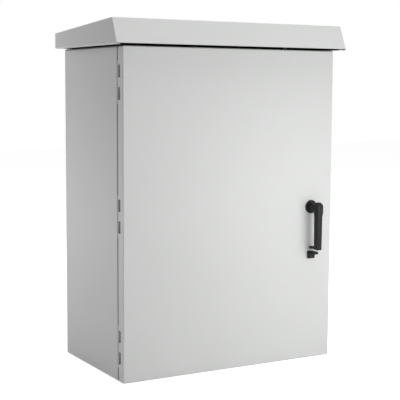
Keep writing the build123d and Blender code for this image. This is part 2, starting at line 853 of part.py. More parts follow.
def grommet_places():
    x0, x1, y0, y1 = entry_bounds(0)
    middle = (grommet_count - 1) / 2
    return [((i - middle) * grommet_pitch, (y0 + y1) / 2) for i in range(grommet_count)]


def gland_plate():
    z0 = sheet + gland_seal
    plate = gland_layer(z0, gland_thick)
    for x, y in grommet_places():
        plate -= upright(x, y, grommet_radius + hole_gap, z0 - cut_past, z0 + gland_thick + cut_past)
    return plate


def gland_gasket():
    x0, x1, y0, y1 = entry_bounds(0)
    hollow = block(x0, x1, y0, y1, sheet, sheet + gland_seal)
    return gland_layer(sheet, gland_seal) - fillet(hollow.edges().filter_by(Axis.Z), bend_radius)


def gland_screws():
    seat = sheet + gland_seal + gland_thick
    one = Rot(180, 0, 0) * screw(gland_screw_radius, seat - seat_gap, screw_head_size, screw_head_height)
    return Compound([Pos(x, y, seat) * one for x, y in gland_screw_places()])


# Blind grommet: turned profile with a groove for the plate and a stepped dome closed at its top
def cable_grommets():
    low = sheet + gland_seal
    high = low + gland_thick
    r = grommet_radius
    rim = r + grommet_rim
    wall = grommet_rim / 2
    outline = [(r - 2 * wall, low - wall), (rim, low - wall), (rim, low), (r, low), (r, high), (rim, high),
               (r, high + 2 * wall), (r / 2, high + 4 * wall), (0, high + 4 * wall), (0, high + 3 * wall),
               (r / 2 - wall, high + 3 * wall), (r - 2 * wall, high + wall)]
    profile = make_face(Polyline(*[(x, 0, z) for x, z in outline], close=True))
    one = revolve(profile, Axis.Z)
    return Compound([Pos(x, y, 0) * one for x, y in grommet_places()])


# Collar stud: welded to the back, its collar carries the mounting plate
def plate_studs():
    studs = []
    for x, z in stud_places():
        collar = crosswise(x, z, stud_collar_radius, back_inner_y - plate_stand_off, back_inner_y)
        thread = crosswise(x, z, stud_radius, plate_front_y - stud_thread, back_inner_y - plate_stand_off)
        studs.append(collar + thread)
    return Compound(studs)


def plate_nuts():
    nuts = []
    for x, z in stud_places():
        nut = Pos(x, plate_front_y, z) * Rot(90, 0, 0) * hex_prism(nut_size, nut_height)
        nuts.append(nut - crosswise(x, z, stud_radius + running_gap, plate_front_y - nut_height - cut_past,
                                    plate_front_y + cut_past))
    return Compound(nuts)


def mounting_plate():
    z0 = height / 2 - plate_height / 2
    plate = block(-plate_width / 2, plate_width / 2, plate_front_y, plate_front_y + plate_thick,
                  z0, z0 + plate_height)
    plate = fillet(plate.edges().filter_by(Axis.Y), bend_radius)
    for x, z in stud_places():
        plate -= crosswise(x, z, stud_radius + hole_gap, plate_front_y - cut_past,
                           plate_front_y + plate_thick + cut_past)
    return plate


def din_rail(z):
    y = plate_front_y
    t = din_thick
    wide = din_width / 2
    crown = din_crown / 2
    hat = [(y, z - crown + t), (y, z + crown - t), (y - din_rise + t, z + crown - t),
           (y - din_rise + t, z + wide), (y - din_rise, z + wide), (y - din_rise, z + crown - 2 * t),
           (y - t, z + crown - 2 * t), (y - t, z - crown + 2 * t), (y - din_rise, z - crown + 2 * t),
           (y - din_rise, z - wide), (y - din_rise + t, z - wide), (y - din_rise + t, z - crown + t)]
    return side_profile(hat, -din_length / 2, din_length / 2)


# Slotted duct: a channel open to the front, with finger slots down both sides
def wiring_duct(z):
    y = plate_front_y
    half = duct_width / 2
    w = duct_wall
    channel = [(y, z - half), (y, z + half), (y - duct_depth, z + half), (y - duct_depth, z + half - w),
               (y - w, z + half - w), (y - w, z - half + w), (y - duct_depth, z - half + w),
               (y - duct_depth, z - half)]
    duct = side_profile(channel, -din_length / 2, din_length / 2)
    count = int(din_length // duct_slot_pitch) - 1
    for i in range(count):
        x = (i - (count - 1) / 2) * duct_slot_pitch
        duct -= block(x - duct_slot / 2, x + duct_slot / 2, y - duct_depth - cut_past, y - duct_slot_floor,
                      z - half - cut_past, z + half + cut_past)
    return duct


def duct_lid(z):
    y = plate_front_y - duct_depth
    half = duct_width / 2 + lid_thick + hole_gap
    t = lid_thick
    turn = y + lid_turn
    lid = [(y - t, z - half), (y - t, z + half), (turn, z + half), (turn, z + half - t),
           (y, z + half - t), (y, z - half + t), (turn, z - half + t), (turn, z - half)]
    return side_profile(lid, -din_length / 2, din_length / 2)


# Card rack: a folded box open to the front, with ears on the plate, and card guides and vents in each bay
def controller_rack():
    x = rack_width / 2
    y1 = plate_front_y
    y0 = y1 - rack_depth
    z1 = rack_bottom + rack_height
    rack = block(-x, x, y0, y1, rack_bottom, z1)
    rack -= block(-x + rack_sheet, x - rack_sheet, y0 - cut_past, y1 - rack_sheet,
                  rack_bottom + rack_sheet, z1 - rack_sheet)
    rack += block(-x - rack_ear, x + rack_ear, y1 - rack_sheet, y1, rack_bottom, z1)
    for bay in range(int((rack_width - 2 * rack_sheet) // module_pitch)):
        left = -x + rack_sheet + bay * module_pitch
        guide_x = left + module_pitch
        for z in (rack_bottom + rack_sheet, z1 - rack_sheet - rack_guide_height):
            rack += block(guide_x - rack_guide_width / 2, guide_x + rack_guide_width / 2, y0, y1 - rack_sheet,
                          z, z + rack_guide_height)
        for i in range(rack_vents_per_bay):
            vent_x = left + module_pitch * (i + 0.5) / rack_vents_per_bay
            rack -= block(vent_x - rack_vent_width / 2, vent_x + rack_vent_width / 2, y0 + rack_vent_margin,
                          y1 - rack_vent_margin, rack_bottom - cut_past, z1 + cut_past)
    return rack


# Plug-in module: front panel, the board with its parts behind it, pull handle, two captive screws and lamps
def rack_module(first_bay, bays):
    x0 = -rack_width / 2 + rack_sheet + first_bay * module_pitch + seat_gap
    x1 = x0 + bays * module_pitch - 2 * seat_gap
    z0 = rack_bottom + rack_sheet + seat_gap
    z1 = rack_bottom + rack_height - rack_sheet - seat_gap
    y0 = plate_front_y - rack_depth
    y1 = plate_front_y - rack_sheet - seat_gap
    middle = (x0 + x1) / 2
    front = y0 - module_panel_thick
    module = block(x0, x1, front, y0, z0, z1)
    module += block(x0 + module_board_gap, x1 - module_board_gap, y0, y1,
                    z0 + rack_guide_height, z1 - rack_guide_height)
    for z in (z0 + module_screw_margin, z1 - module_screw_margin):
        module += crosswise(middle, z, module_screw_radius, front - module_screw_rise, front)
        module -= block(middle - module_screw_radius, middle + module_screw_radius,
                        front - module_screw_rise, front - module_screw_rise + module_screw_slot,
                        z - module_screw_slot / 2, z + module_screw_slot / 2)
    lamp_x = middle if bays == 1 else x1 - module_pitch / 4
    for i in range(lamp_count):
        module -= crosswise(lamp_x, z1 - lamp_drop - i * lamp_pitch, lamp_radius, front, front + lamp_depth)
    return module + module_pull(middle, front, z0 + module_pull_low)


def module_pull(x, y, z):
    far = y - module_pull_reach
    path = FilletPolyline((x, y, z), (x, far, z), (x, far, z + module_pull_length),
                          (x, y, z + module_pull_length), radius=module_pull_bend)
    section = Plane(origin=path @ 0, z_dir=path % 0) * Circle(module_pull_radius)
    return sweep(section, path=path)


# Processor module: two bays wide, with a display window and a rimmed service port
def processor_module():
    module = rack_module(0, processor_bays)
    front = plate_front_y - rack_depth - module_panel_thick
    left = -rack_width / 2 + rack_sheet + seat_gap
    top = rack_bottom + rack_height - rack_sheet - seat_gap
    window_x = left + (processor_bays * module_pitch - module_pitch / 4 - display_width) / 2
    module -= block(window_x, window_x + display_width, front, front + display_depth,
                    top - display_drop - display_height, top - display_drop)
    port_x = left + module_pull_reach / 2
    port_z = rack_bottom + module_pull_low + port_level
    port = block(port_x, port_x + port_width, front - port_rise, front, port_z, port_z + port_height)
    port = fillet(port.edges().filter_by(Axis.Y), port_height / 4)
    hollow = block(port_x + port_wall, port_x + port_width - port_wall, front - port_rise, front,
                   port_z + port_wall, port_z + port_height - port_wall)
    return module + port - hollow


# Power supply: dark case with cooling slots in its roof and a step of wire clamps at its foot
def power_supply():
    x1 = din_length / 2
    x0 = x1 - power_supply_width
    y1 = plate_front_y - din_rise
    y0 = y1 - power_supply_depth
    z0 = breaker_rail_z - power_supply_height / 2
    z1 = z0 + power_supply_height
    case = block(x0, x1, y0, y1, z0, z1)
    case = fillet(case.edges().filter_by(Axis.Y) + case.edges().group_by(Axis.Y)[0], power_supply_corner)
    for i in range(power_supply_slots):
        x = x0 + power_supply_width * (i + 1) / (power_supply_slots + 1)
        case -= block(x - power_slot_width / 2, x + power_slot_width / 2, y0 + power_slot_margin,
                      y1 - power_slot_margin, z1 - power_slot_depth, z1 + cut_past)
    step_y = y0 + power_step_depth
    case -= block(x0 - cut_past, x1 + cut_past, y0 - cut_past, step_y, z0 - cut_past, z0 + power_step_height)
    for i in range(power_clamps):
        x = x0 + power_supply_width * (i + 0.5) / power_clamps
        case -= crosswise(x, z0 + power_step_height / 2, clamp_hole_radius, step_y - cut_past,
                          step_y + clamp_hole_depth)
    return case


# Circuit breaker: stepped moulding with a toggle slot in its nose
def breaker_x(index):
    return -din_length / 2 + breaker_pitch * (index + 1)


def toggle_y():
    return plate_front_y - din_rise - breaker_nose + toggle_sink


def circuit_breaker(index):
    x = breaker_x(index)
    y = plate_front_y - din_rise
    z = breaker_rail_z
    tall = breaker_height / 2
    nose = breaker_nose_height / 2
    shoulder = nose + breaker_slope
    outline = [(y, z - tall), (y, z + tall), (y - breaker_depth, z + tall), (y - breaker_depth, z + shoulder),
               (y - breaker_nose, z + nose), (y - breaker_nose, z - nose), (y - breaker_depth, z - shoulder),
               (y - breaker_depth, z - tall)]
    case = side_profile(outline, x - breaker_width / 2, x + breaker_width / 2)
    half = toggle_width / 2 + slide_gap
    hollow = toggle_radius + slide_gap
    case -= lengthwise(toggle_y(), z, hollow, x - half, x + half)
    case -= block(x - half, x + half, y - breaker_nose - cut_past, toggle_y(), z - hollow, z + hollow)
    for side in (-1, 1):
        case -= crosswise(x, z + side * (tall - clamp_hole_margin), clamp_hole_radius,
                          y - breaker_depth - cut_past, y - breaker_depth + clamp_hole_depth)
    return case


def breaker_toggle(index):
    x = breaker_x(index)
    y = toggle_y()
    z = breaker_rail_z
    half = toggle_width / 2
    drum = lengthwise(y, z, toggle_radius, x - half, x + half)
    tip_y = y - toggle_radius - toggle_length
    finger = side_profile([(y, z - toggle_root / 2), (tip_y, z - toggle_tip / 2),
                           (tip_y, z + toggle_tip / 2), (y, z + toggle_root / 2)], x - half, x + half)
    finger = finger.rotate(Axis((x, y, z), (1, 0, 0)), -toggle_throw / 2)
    return drum + finger


# Row of feed-through terminals, moulded side by side, with clamp screws and wire funnels
def terminal_blocks():
    y = plate_front_y - din_rise
    z = terminal_rail_z
    tall = terminal_height / 2
    front = y - terminal_depth
    shoulder = front + terminal_shoulder
    top = terminal_top / 2
    length = terminal_count * terminal_pitch
    outline = [(y, z - tall), (y, z + tall), (shoulder, z + tall), (front, z + top),
               (front, z - top), (shoulder, z - tall)]
    row = side_profile(outline, -length / 2, length / 2)
    for i in range(1, terminal_count):
        x = -length / 2 + i * terminal_pitch
        row -= block(x - terminal_groove / 2, x + terminal_groove / 2, front - cut_past,
                     front + terminal_groove_depth, z - tall - cut_past, z + tall + cut_past)
    for i in range(terminal_count):
        x = -length / 2 + (i + 0.5) * terminal_pitch
        for side in (-1, 1):
            row -= crosswise(x, z + side * terminal_hole_offset, terminal_hole_radius,
                             front - cut_past, front + terminal_hole_depth)
    return row


def earth_bar():
    y = plate_front_y
    z = earth_bar_z
    half = earth_bar_length / 2
    bar = block(-half, half, y - 2 * earth_bar_thick, y - earth_bar_thick, z - earth_bar_height / 2,
                z + earth_bar_height / 2)
    leg_x = half - earth_bar_height / 2
    for side in (-1, 1):
        bar += crosswise(side * leg_x, z, earth_bar_height / 2, y - earth_bar_thick, y)
    for i in range(earth_screw_count):
        x = (i - (earth_screw_count - 1) / 2) * earth_screw_pitch
        bar += crosswise(x, z, earth_screw_radius, y - 2 * earth_bar_thick - earth_screw_rise,
                         y - 2 * earth_bar_thick)
    return bar


save(body_shell(), "body_shell")
save(gland_gasket(), "gland_gasket")
save(gland_plate(), "gland_plate")
save(gland_screws(), "gland_screws")
save(cable_grommets(), "cable_grommets")
save(rain_hood(), "rain_hood")
save(hood_bracket(-1), "hood_bracket_left")
save(hood_bracket(1), "hood_bracket_right")
save(hood_fixings(), "hood_fixings")
save(door_panel(), "door_panel")
save(door_gasket(), "door_gasket")
save(door_rail(-1), "door_rail_left")
save(door_rail(1), "door_rail_right")
save(document_pocket(), "document_pocket")
for name, z in hinge_heights.items():
    save(hinge_body_leaf(z), f"hinge_{name}_body_leaf")
    save(hinge_door_leaf(z), f"hinge_{name}_door_leaf")
    save(hinge_pin(z), f"hinge_{name}_pin")
save(leaf_screws(), "hinge_screws")
save(handle_rosette(), "handle_rosette")
save(handle_lever(), "handle_lever")
save(padlock_hasp(), "padlock_hasp")
save(lock_spindle(), "lock_spindle")
save(lock_pinion(), "lock_pinion")
save(lock_case(), "lock_case")
save(latch_cam(), "latch_cam")
save(cam_screw(), "cam_screw")
for name, side in (("upper", 1), ("lower", -1)):
    save(latch_rod(side), f"latch_rod_{name}")
    save(rod_guide(side), f"rod_guide_{name}")
save(mounting_plate(), "mounting_plate")
save(plate_studs(), "plate_studs")
save(plate_nuts(), "plate_nuts")
save(din_rail(breaker_rail_z), "rail_breakers")
save(din_rail(terminal_rail_z), "rail_terminals")
for name, z in (("upper", upper_duct_z), ("lower", lower_duct_z)):
    save(wiring_duct(z), f"wiring_duct_{name}")
    save(duct_lid(z), f"duct_lid_{name}")
save(controller_rack(), "controller_rack")
save(processor_module(), "processor_module")
for number in (1, 2, 3, 4):
    save(rack_module(processor_bays + number - 1, 1), f"lamp_switch_module_{number}")
save(power_supply(), "power_supply")
for number in range(1, breaker_count + 1):
    save(circuit_breaker(number - 1), f"circuit_breaker_{number}")
    save(breaker_toggle(number - 1), f"breaker_toggle_{number}")
save(terminal_blocks(), "terminal_blocks")
save(earth_bar(), "earth_bar")
print("travel of the latch rods", round(travel, 2))
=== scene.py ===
# %% [markdown]
# A signal controller cabinet is mostly painted sheet steel, so most of this lesson is about making plain
# sheet look real: soft light that fades across a flat door, a fine powder-coat texture, and small true
# details where pieces meet. The construction is already there as a frame of solids. This script gives each
# of them its finish, makes the lever anew in a finer form, and adds the small pieces that sit on the others.

# %% Load the frame of solids
import math

import bmesh
import bpy
from mathutils import Matrix, Vector


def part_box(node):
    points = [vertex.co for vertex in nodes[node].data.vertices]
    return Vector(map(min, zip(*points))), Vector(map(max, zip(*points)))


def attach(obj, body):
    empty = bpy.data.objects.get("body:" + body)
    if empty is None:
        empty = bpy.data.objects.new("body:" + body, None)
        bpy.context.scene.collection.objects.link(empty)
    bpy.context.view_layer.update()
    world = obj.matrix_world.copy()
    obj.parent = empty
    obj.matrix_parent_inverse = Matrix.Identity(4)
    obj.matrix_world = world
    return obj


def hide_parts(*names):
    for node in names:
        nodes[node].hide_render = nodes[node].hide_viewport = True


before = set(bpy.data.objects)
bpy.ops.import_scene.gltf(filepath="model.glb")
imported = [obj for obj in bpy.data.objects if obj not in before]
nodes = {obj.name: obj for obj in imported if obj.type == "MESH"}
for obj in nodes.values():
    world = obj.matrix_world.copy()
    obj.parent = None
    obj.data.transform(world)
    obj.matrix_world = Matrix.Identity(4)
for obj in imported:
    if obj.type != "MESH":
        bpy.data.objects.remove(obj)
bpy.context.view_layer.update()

# %% [markdown]
# The camera is a plain pinhole. Its place and direction were worked out from the corners of the box, so the
# edges of the cabinet run as they do in the photograph. It could be aimed with a Track To constraint, but a
# matrix made from three directions keeps the small roll of the picture as well.

# %% Camera
azimuth = math.radians(29.70)
elevation = math.radians(-5.993)
roll = math.radians(0.301)
eye = Vector((-1.3551, -2.3864, 0.6989))
focal_length = 94.79
sensor = 36.0

forward = Vector((math.sin(azimuth) * math.cos(elevation), math.cos(azimuth) * math.cos(elevation),
                  math.sin(elevation)))
level_right = Vector((math.cos(azimuth), -math.sin(azimuth), 0))
level_up = level_right.cross(forward)
picture_right = math.cos(roll) * level_right + math.sin(roll) * level_up
picture_up = -math.sin(roll) * level_right + math.cos(roll) * level_up

optics = bpy.data.cameras.new("camera")
optics.lens = focal_length
optics.sensor_width = sensor
optics.clip_start = 0.05
optics.clip_end = 60
camera = bpy.data.objects.new("camera", optics)
camera_turn = Matrix((picture_right, picture_up, -forward)).transposed()
camera.matrix_world = Matrix.Translation(eye) @ camera_turn.to_4x4()
bpy.context.scene.collection.objects.link(camera)
bpy.context.scene.camera = camera
bpy.context.scene.view_settings.view_transform = "Standard"
print("camera at", [round(v, 3) for v in eye])

# %% [markdown]
# A finish is a material. Writing one as a chain of nodes by hand is long, so a finish here is a small object
# with one method that adds any node, and the numbers that come out of a node can be added and multiplied
# as in ordinary arithmetic. Each sum adds one Math node. Patterns read Object coordinates in metres, so a
# scale of 400 makes waves of about 2.5 mm.

# %% Helper for finishes
class Level:
    """A number that varies over a surface."""

    def __init__(self, finish, socket):
        self.finish = finish
        self.socket = socket

    def __add__(self, other):
        return self.finish.sum("ADD", self, other)

    def __sub__(self, other):
        return self.finish.sum("SUBTRACT", self, other)

    def __rsub__(self, other):
        return self.finish.sum("SUBTRACT", other, self)

    def __mul__(self, other):
        return self.finish.sum("MULTIPLY", self, other)

    def __lt__(self, other):
        return self.finish.sum("LESS_THAN", self, other)

    def __gt__(self, other):
        return self.finish.sum("GREATER_THAN", self, other)

    __radd__ = __add__
    __rmul__ = __mul__


class Finish:
    """A material whose Principled shader is fed by levels and constants."""

    def __init__(self, name, **constants):
        self.material = bpy.data.materials.new(name)
        self.material.use_nodes = True
        self.tree = self.material.node_tree
        self.surface = self.tree.nodes["Principled BSDF"]
        self.place = self.add("ShaderNodeTexCoord", output="Object")
        self.set(**constants)

    def add(self, kind, settings=None, sockets=None, output=0):
        """Add one node, feed its sockets, and return one of its outputs as a level."""
        node = self.tree.nodes.new(kind)
        for key, value in (settings or {}).items():
            setattr(node, key, value)
        for key, value in (sockets or {}).items():
            self.join(value, node.inputs[key])
        return Level(self, node.outputs[output])

    def sum(self, operation, first, second=0.0):
        return self.add("ShaderNodeMath", {"operation": operation}, {0: first, 1: second})

    def join(self, value, socket):
        if isinstance(value, Level):
            self.tree.links.new(value.socket, socket)
        else:
            socket.default_value = value

    def set(self, **values):
        """Feed inputs of the shader, named as in Blender with low lines for spaces."""
        for name, value in values.items():
            socket = self.surface.inputs[name.replace("_", " ").title().replace("Ior", "IOR")]
            if isinstance(value, tuple):
                value = (*value, 1.0)
            self.join(value, socket)

    def axis(self, letter, source=None):
        return self.add("ShaderNodeSeparateXYZ", sockets={0: source or self.place}, output=letter)

    def noise(self, scale, detail=2.0, stretch=(1, 1, 1)):
        place = self.add("ShaderNodeMapping", sockets={"Vector": self.place, "Scale": stretch})
        return self.add("ShaderNodeTexNoise", sockets={"Vector": place, "Scale": scale, "Detail": detail})

    def cells(self, scale):
        sockets = {"Vector": self.place, "Scale": scale}
        return self.add("ShaderNodeTexVoronoi", sockets=sockets, output="Color")

    def blend(self, level, first, second):
        """The first colour where the level is zero, the second where it is one."""
        colours = [(*c, 1.0) if isinstance(c, tuple) else c for c in (first, second)]
        return self.add("ShaderNodeMix", {"data_type": "RGBA"}, {0: level, 6: colours[0], 7: colours[1]}, 2)

    def bump(self, height, depth):
        return self.add("ShaderNodeBump", sockets={"Strength": 1.0, "Distance": depth, "Height": height})


def shade(grey, tint):
    return tuple(grey * t for t in tint)


def wear_finish(finish, *names):
    """Give a finish to nodes of the frame."""
    for name in names:
        nodes[name].data.materials.clear()
        nodes[name].data.materials.append(finish.material)
    print(finish.material.name, "on", len(names), "nodes")


# %% [markdown]
# The photograph has a pure white ground. A white floor under ordinary light would only be grey, and more
# light would bleach the cabinet. So the ground is white to the camera by itself, and keeps the soft shadow of
# the cabinet: to the light that falls on it the floor adds a light of its own, which only the camera, mirrors
# and glass see. Other rays see a plain pale floor, which sends soft light up on the cabinet, as a real floor
# does.

# %% Stage
floor_half = 9.0
floor_colour = (0.86, 0.86, 0.86)
floor_glow = 0.80
sky_level = 0.21


def ray_is_seen(tree):
    """One for rays to the camera, whether straight, by a mirror or through glass, and zero for others."""
    rays = tree.nodes.new("ShaderNodeLightPath")
    seen = rays.outputs["Is Camera Ray"]
    for ray_kind in ("Is Glossy Ray", "Is Transmission Ray"):
        either = tree.nodes.new("ShaderNodeMath")
        either.operation = "ADD"
        either.use_clamp = True
        tree.links.new(seen, either.inputs[0])
        tree.links.new(rays.outputs[ray_kind], either.inputs[1])
        seen = either.outputs[0]
    return seen


floor_mesh = bpy.data.meshes.new("floor")
floor_mesh.from_pydata([(-floor_half, -floor_half, 0), (floor_half, -floor_half, 0),
                        (floor_half, floor_half, 0), (-floor_half, floor_half, 0)], [], [(0, 1, 2, 3)])
floor = bpy.data.objects.new("floor", floor_mesh)
bpy.context.scene.collection.objects.link(floor)
floor_finish = bpy.data.materials.new("floor")
floor_finish.use_nodes = True
floor_tree = floor_finish.node_tree
floor_tree.nodes.clear()
matt = floor_tree.nodes.new("ShaderNodeBsdfDiffuse")
matt.inputs["Color"].default_value = (*floor_colour, 1)
glow = floor_tree.nodes.new("ShaderNodeEmission")
floor_tree.links.new(ray_is_seen(floor_tree), glow.inputs["Strength"])
glow.inputs["Color"].default_value = (floor_glow, floor_glow, floor_glow, 1)
both = floor_tree.nodes.new("ShaderNodeAddShader")
result = floor_tree.nodes.new("ShaderNodeOutputMaterial")
floor_tree.links.new(matt.outputs[0], both.inputs[0])
floor_tree.links.new(glow.outputs[0], both.inputs[1])
floor_tree.links.new(both.outputs[0], result.inputs[0])
floor_mesh.materials.append(floor_finish)

sky = bpy.data.worlds.new("sky")
bpy.context.scene.world = sky
sky.use_nodes = True
sky_tree = sky.node_tree
sky_tree.nodes.clear()
air = sky_tree.nodes.new("ShaderNodeBackground")
air.inputs["Color"].default_value = (sky_level, sky_level, sky_level, 1)
white = sky_tree.nodes.new("ShaderNodeBackground")
white.inputs["Color"].default_value = (1, 1, 1, 1)
choice = sky_tree.nodes.new("ShaderNodeMixShader")
sky_out = sky_tree.nodes.new("ShaderNodeOutputWorld")
sky_tree.links.new(ray_is_seen(sky_tree), choice.inputs[0])
sky_tree.links.new(air.outputs[0], choice.inputs[1])
sky_tree.links.new(white.outputs[0], choice.inputs[2])
sky_tree.links.new(choice.outputs[0], sky_out.inputs[0])
print("stage: floor", 2 * floor_half, "m wide")

# %% [markdown]
# On the photograph the door grows lighter from its hinges to its free edge, the side facing left is darker
# and grows lighter to the back, and the hood is the lightest. Five area lamps and a pale sky give that. Light
# falls off with distance, so a lamp close to one edge is what makes a flat sheet fade: a small one stands in
# front of the free edge of the door, and a tall strip stands behind the left side. Each lamp was rendered
# alone to see what it gives, and its power was then worked out from the tones in the photograph.

# %% Lamps


def lamp(name, place, target, width, height, power):
    """An area lamp that shines from its place towards a target."""
    light = bpy.data.lights.new(name, "AREA")
    light.shape = "RECTANGLE"
    light.size = width
    light.size_y = height
    light.energy = power
    holder = bpy.data.objects.new(name, light)
    holder.location = place
    holder.rotation_euler = (Vector(target) - Vector(place)).to_track_quat("-Z", "Y").to_euler()
    bpy.context.scene.collection.objects.link(holder)


lamp("front", (0.1, -2.8, 1.3), (0.0, -0.15, 0.45), 1.8, 1.8, 27.9)
lamp("overhead", (0.2, -0.2, 3.0), (0.0, 0.0, 0.5), 1.6, 1.6, 41.3)
lamp("free_edge", (0.40, -0.80, 0.42), (0.30, -0.17, 0.42), 0.45, 0.45, 2.23)
lamp("left_strip", (-0.60, 0.95, 0.65), (-0.3, 0.0, 0.6), 0.25, 1.1, 1.5)
lamp("left_low", (-1.1, 0.95, 0.2), (-0.3, 0.1, 0.4), 0.6, 0.6, 2.64)

# %% [markdown]
# Powder coat is baked plastic on steel. It is almost one colour. What the eye reads is its fine orange-peel
# surface, a waviness of a few millimetres and a hundredth of a millimetre deep, with a still finer grain.
# The colour varies by a percent or two, where the coat is thicker. A bump node gives the waviness, and two
# noises at different scales keep it from looking like a print.

# %% Powder coat
paint_colour = shade(0.60, (0.985, 1.0, 0.985))
# A near-black colour used as painted shade in the gaps and inside the hood.
painted_shade_colour = (0.030, 0.031, 0.031)


def powder_coat(name):
    """Grey paint. Its colour is kept at hand, so that painted shade can take its place in parts."""
    coat = Finish(name, specular_ior_level=0.45)
    drift = coat.noise(5.0, 3.0)
    grain = coat.noise(1400.0, 2.0)
    peel = coat.noise(320.0, 2.0)
    coat.colour = coat.blend(drift * 0.7 + grain * 0.3, shade(0.965, paint_colour), shade(1.02, paint_colour))
    coat.set(base_color=coat.colour)
    coat.set(roughness=0.40 + 0.10 * drift + 0.06 * grain)
    coat.set(normal=coat.bump(peel * 0.7 + grain * 0.3, 0.00006))
    return coat


door_paint = powder_coat("grey_paint")
wear_finish(door_paint, "door_panel", "door_rail_left", "door_rail_right")

# %% [markdown]
# Painted shade makes the gaps look black: inside the hood, on the roof that the hood covers, and on the
# narrow face behind the edge of the door, a near-black colour takes the place of the grey paint. The hood's
# inner
# faces are found by their normals: the normal of an outer face points away from the middle of the hood, and
# that of an inner face points towards it, so their dot product changes its sign. The covered face is found
# by its distance from the front. Behind the notches for the hinges it keeps the grey paint, as it shows
# there.

# %% Painted shade inside the hood and behind the edge of the door
lip_length = 0.0212
covered_reach = 0.0019
lip_margin = 0.0245
roof_skin = 0.0009
hinge_margin = 0.006

shell_paint = powder_coat("grey_paint_shell")
shell_low, shell_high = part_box("body_shell")
shell_middle = (shell_low + shell_high) / 2
in_front = shell_paint.axis("Y") < shell_low.y + lip_length + covered_reach
across = shell_paint.sum("ABSOLUTE", shell_paint.axis("X")) > shell_high.x - lip_margin
upwards = shell_paint.sum("ABSOLUTE", shell_paint.axis("Z") - shell_middle.z) > shell_middle.z - lip_margin
roof = shell_paint.axis("Z") > shell_high.z - roof_skin
covered = shell_paint.sum("MAXIMUM", in_front * shell_paint.sum("MAXIMUM", across, upwards), roof)
near_hinge = 0.0
for place in ("lower", "middle", "upper"):
    leaf_low, leaf_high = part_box(f"hinge_{place}_body_leaf")
    off_leaf = shell_paint.sum("ABSOLUTE", shell_paint.axis("Z") - (leaf_low.z + leaf_high.z) / 2)
    near_hinge = near_hinge + (off_leaf < (leaf_high.z - leaf_low.z) / 2 + hinge_margin)
hinge_side = near_hinge * (shell_paint.axis("X") < 0.0)
painted_shade_mask = covered * (1.0 - hinge_side)
# Painted shade: where the mask is one, the near-black colour takes the place of the grey paint.
shell_paint.set(base_color=shell_paint.blend(painted_shade_mask, shell_paint.colour, painted_shade_colour))
wear_finish(shell_paint, "body_shell")

hood_paint = powder_coat("grey_paint_hood")
hood_low, hood_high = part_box("rain_hood")
hood_middle = tuple((hood_low + hood_high) / 2)
facing = hood_paint.add("ShaderNodeTexCoord", output="Normal")
outwards = hood_paint.add("ShaderNodeVectorMath", {"operation": "SUBTRACT"},
                          {0: hood_paint.place, 1: hood_middle})
agreement = hood_paint.add("ShaderNodeVectorMath", {"operation": "DOT_PRODUCT"},
                           {0: facing, 1: outwards}, "Value")
# Painted shade: the inner faces of the hood take the near-black colour in place of the grey paint.
hood_paint.set(base_color=hood_paint.blend(agreement < 0.0, hood_paint.colour, painted_shade_colour))
wear_finish(hood_paint, "rain_hood")

# A near-black finish with a faint mottle, used as painted shade on the hood brackets in the dark gap under
# the hood.
painted_shade_finish = Finish("painted_shade_finish", specular_ior_level=0.3)
shade_mottle = painted_shade_finish.noise(90.0, 3.0)
painted_shade_finish.set(base_color=painted_shade_finish.blend(shade_mottle, shade(0.8, painted_shade_colour), shade(1.3, painted_shade_colour)))
painted_shade_finish.set(roughness=0.55 + 0.15 * shade_mottle)
painted_shade_finish.set(normal=painted_shade_finish.bump(painted_shade_finish.noise(700.0), 0.00006))
wear_finish(painted_shade_finish, "hood_bracket_left", "hood_bracket_right")

# %% [markdown]
# Galvanised sheet is metal, so its colour is what it mirrors. Hot-dip zinc freezes in flat crystals about a
# centimetre wide, and each crystal mirrors a little differently. Voronoi cells are just such a pattern. They
# change the roughness and the tone a little from cell to cell, and a fine noise breaks the mirror. Screws are
# plated without such crystals, so theirs is a plain stain.

# %% Galvanised sheet and plated fasteners
zinc_sheet = Finish("zinc_sheet", metallic=1.0)
crystal = zinc_sheet.axis("X", zinc_sheet.cells(110.0))
smear = zinc_sheet.noise(60.0, 3.0)
zinc_tone = crystal * 0.6 + smear * 0.4
zinc_sheet.set(base_color=zinc_sheet.blend(zinc_tone, (0.30, 0.31, 0.32), (0.42, 0.43, 0.43)))
zinc_sheet.set(roughness=0.44 + 0.14 * crystal + 0.08 * smear)
zinc_sheet.set(normal=zinc_sheet.bump(zinc_sheet.noise(900.0), 0.00002))
wear_finish(zinc_sheet, "mounting_plate", "gland_plate", "rail_breakers", "rail_terminals", "lock_case",
            "latch_cam", "latch_rod_upper", "latch_rod_lower", "controller_rack")

zinc_fastener = Finish("zinc_fastener", metallic=1.0)
stain = zinc_fastener.noise(260.0, 3.0)
zinc_fastener.set(base_color=zinc_fastener.blend(stain, (0.38, 0.39, 0.41), (0.48, 0.47, 0.44)))
zinc_fastener.set(roughness=0.36 + 0.16 * stain)
zinc_fastener.set(normal=zinc_fastener.bump(zinc_fastener.noise(1500.0), 0.00002))
wear_finish(zinc_fastener, "gland_screws", "hood_fixings", "hinge_screws", "plate_studs", "plate_nuts",
            "cam_screw")

# %% [markdown]
# The hinge pins are turned, and turned steel has grooves round its axis. Noise that is stretched far along X
# and Y and short along Z leaves thin rings round an upright pin. The lock's spindle and pinion wear the same
# finish. The hinge leaves are die cast and coated, which leaves a pebbly skin.

# %% Bright steel and coated castings
bright_steel = Finish("bright_steel", metallic=1.0)
rings = bright_steel.noise(60.0, 2.0, (0.2, 1.0, 40.0))
bright_steel.set(base_color=bright_steel.blend(rings, (0.50, 0.50, 0.50), (0.66, 0.66, 0.65)))
bright_steel.set(roughness=0.18 + 0.18 * rings)
bright_steel.set(normal=bright_steel.bump(rings, 0.00002))
wear_finish(bright_steel, "hinge_lower_pin", "hinge_middle_pin", "hinge_upper_pin", "lock_spindle",
            "lock_pinion")

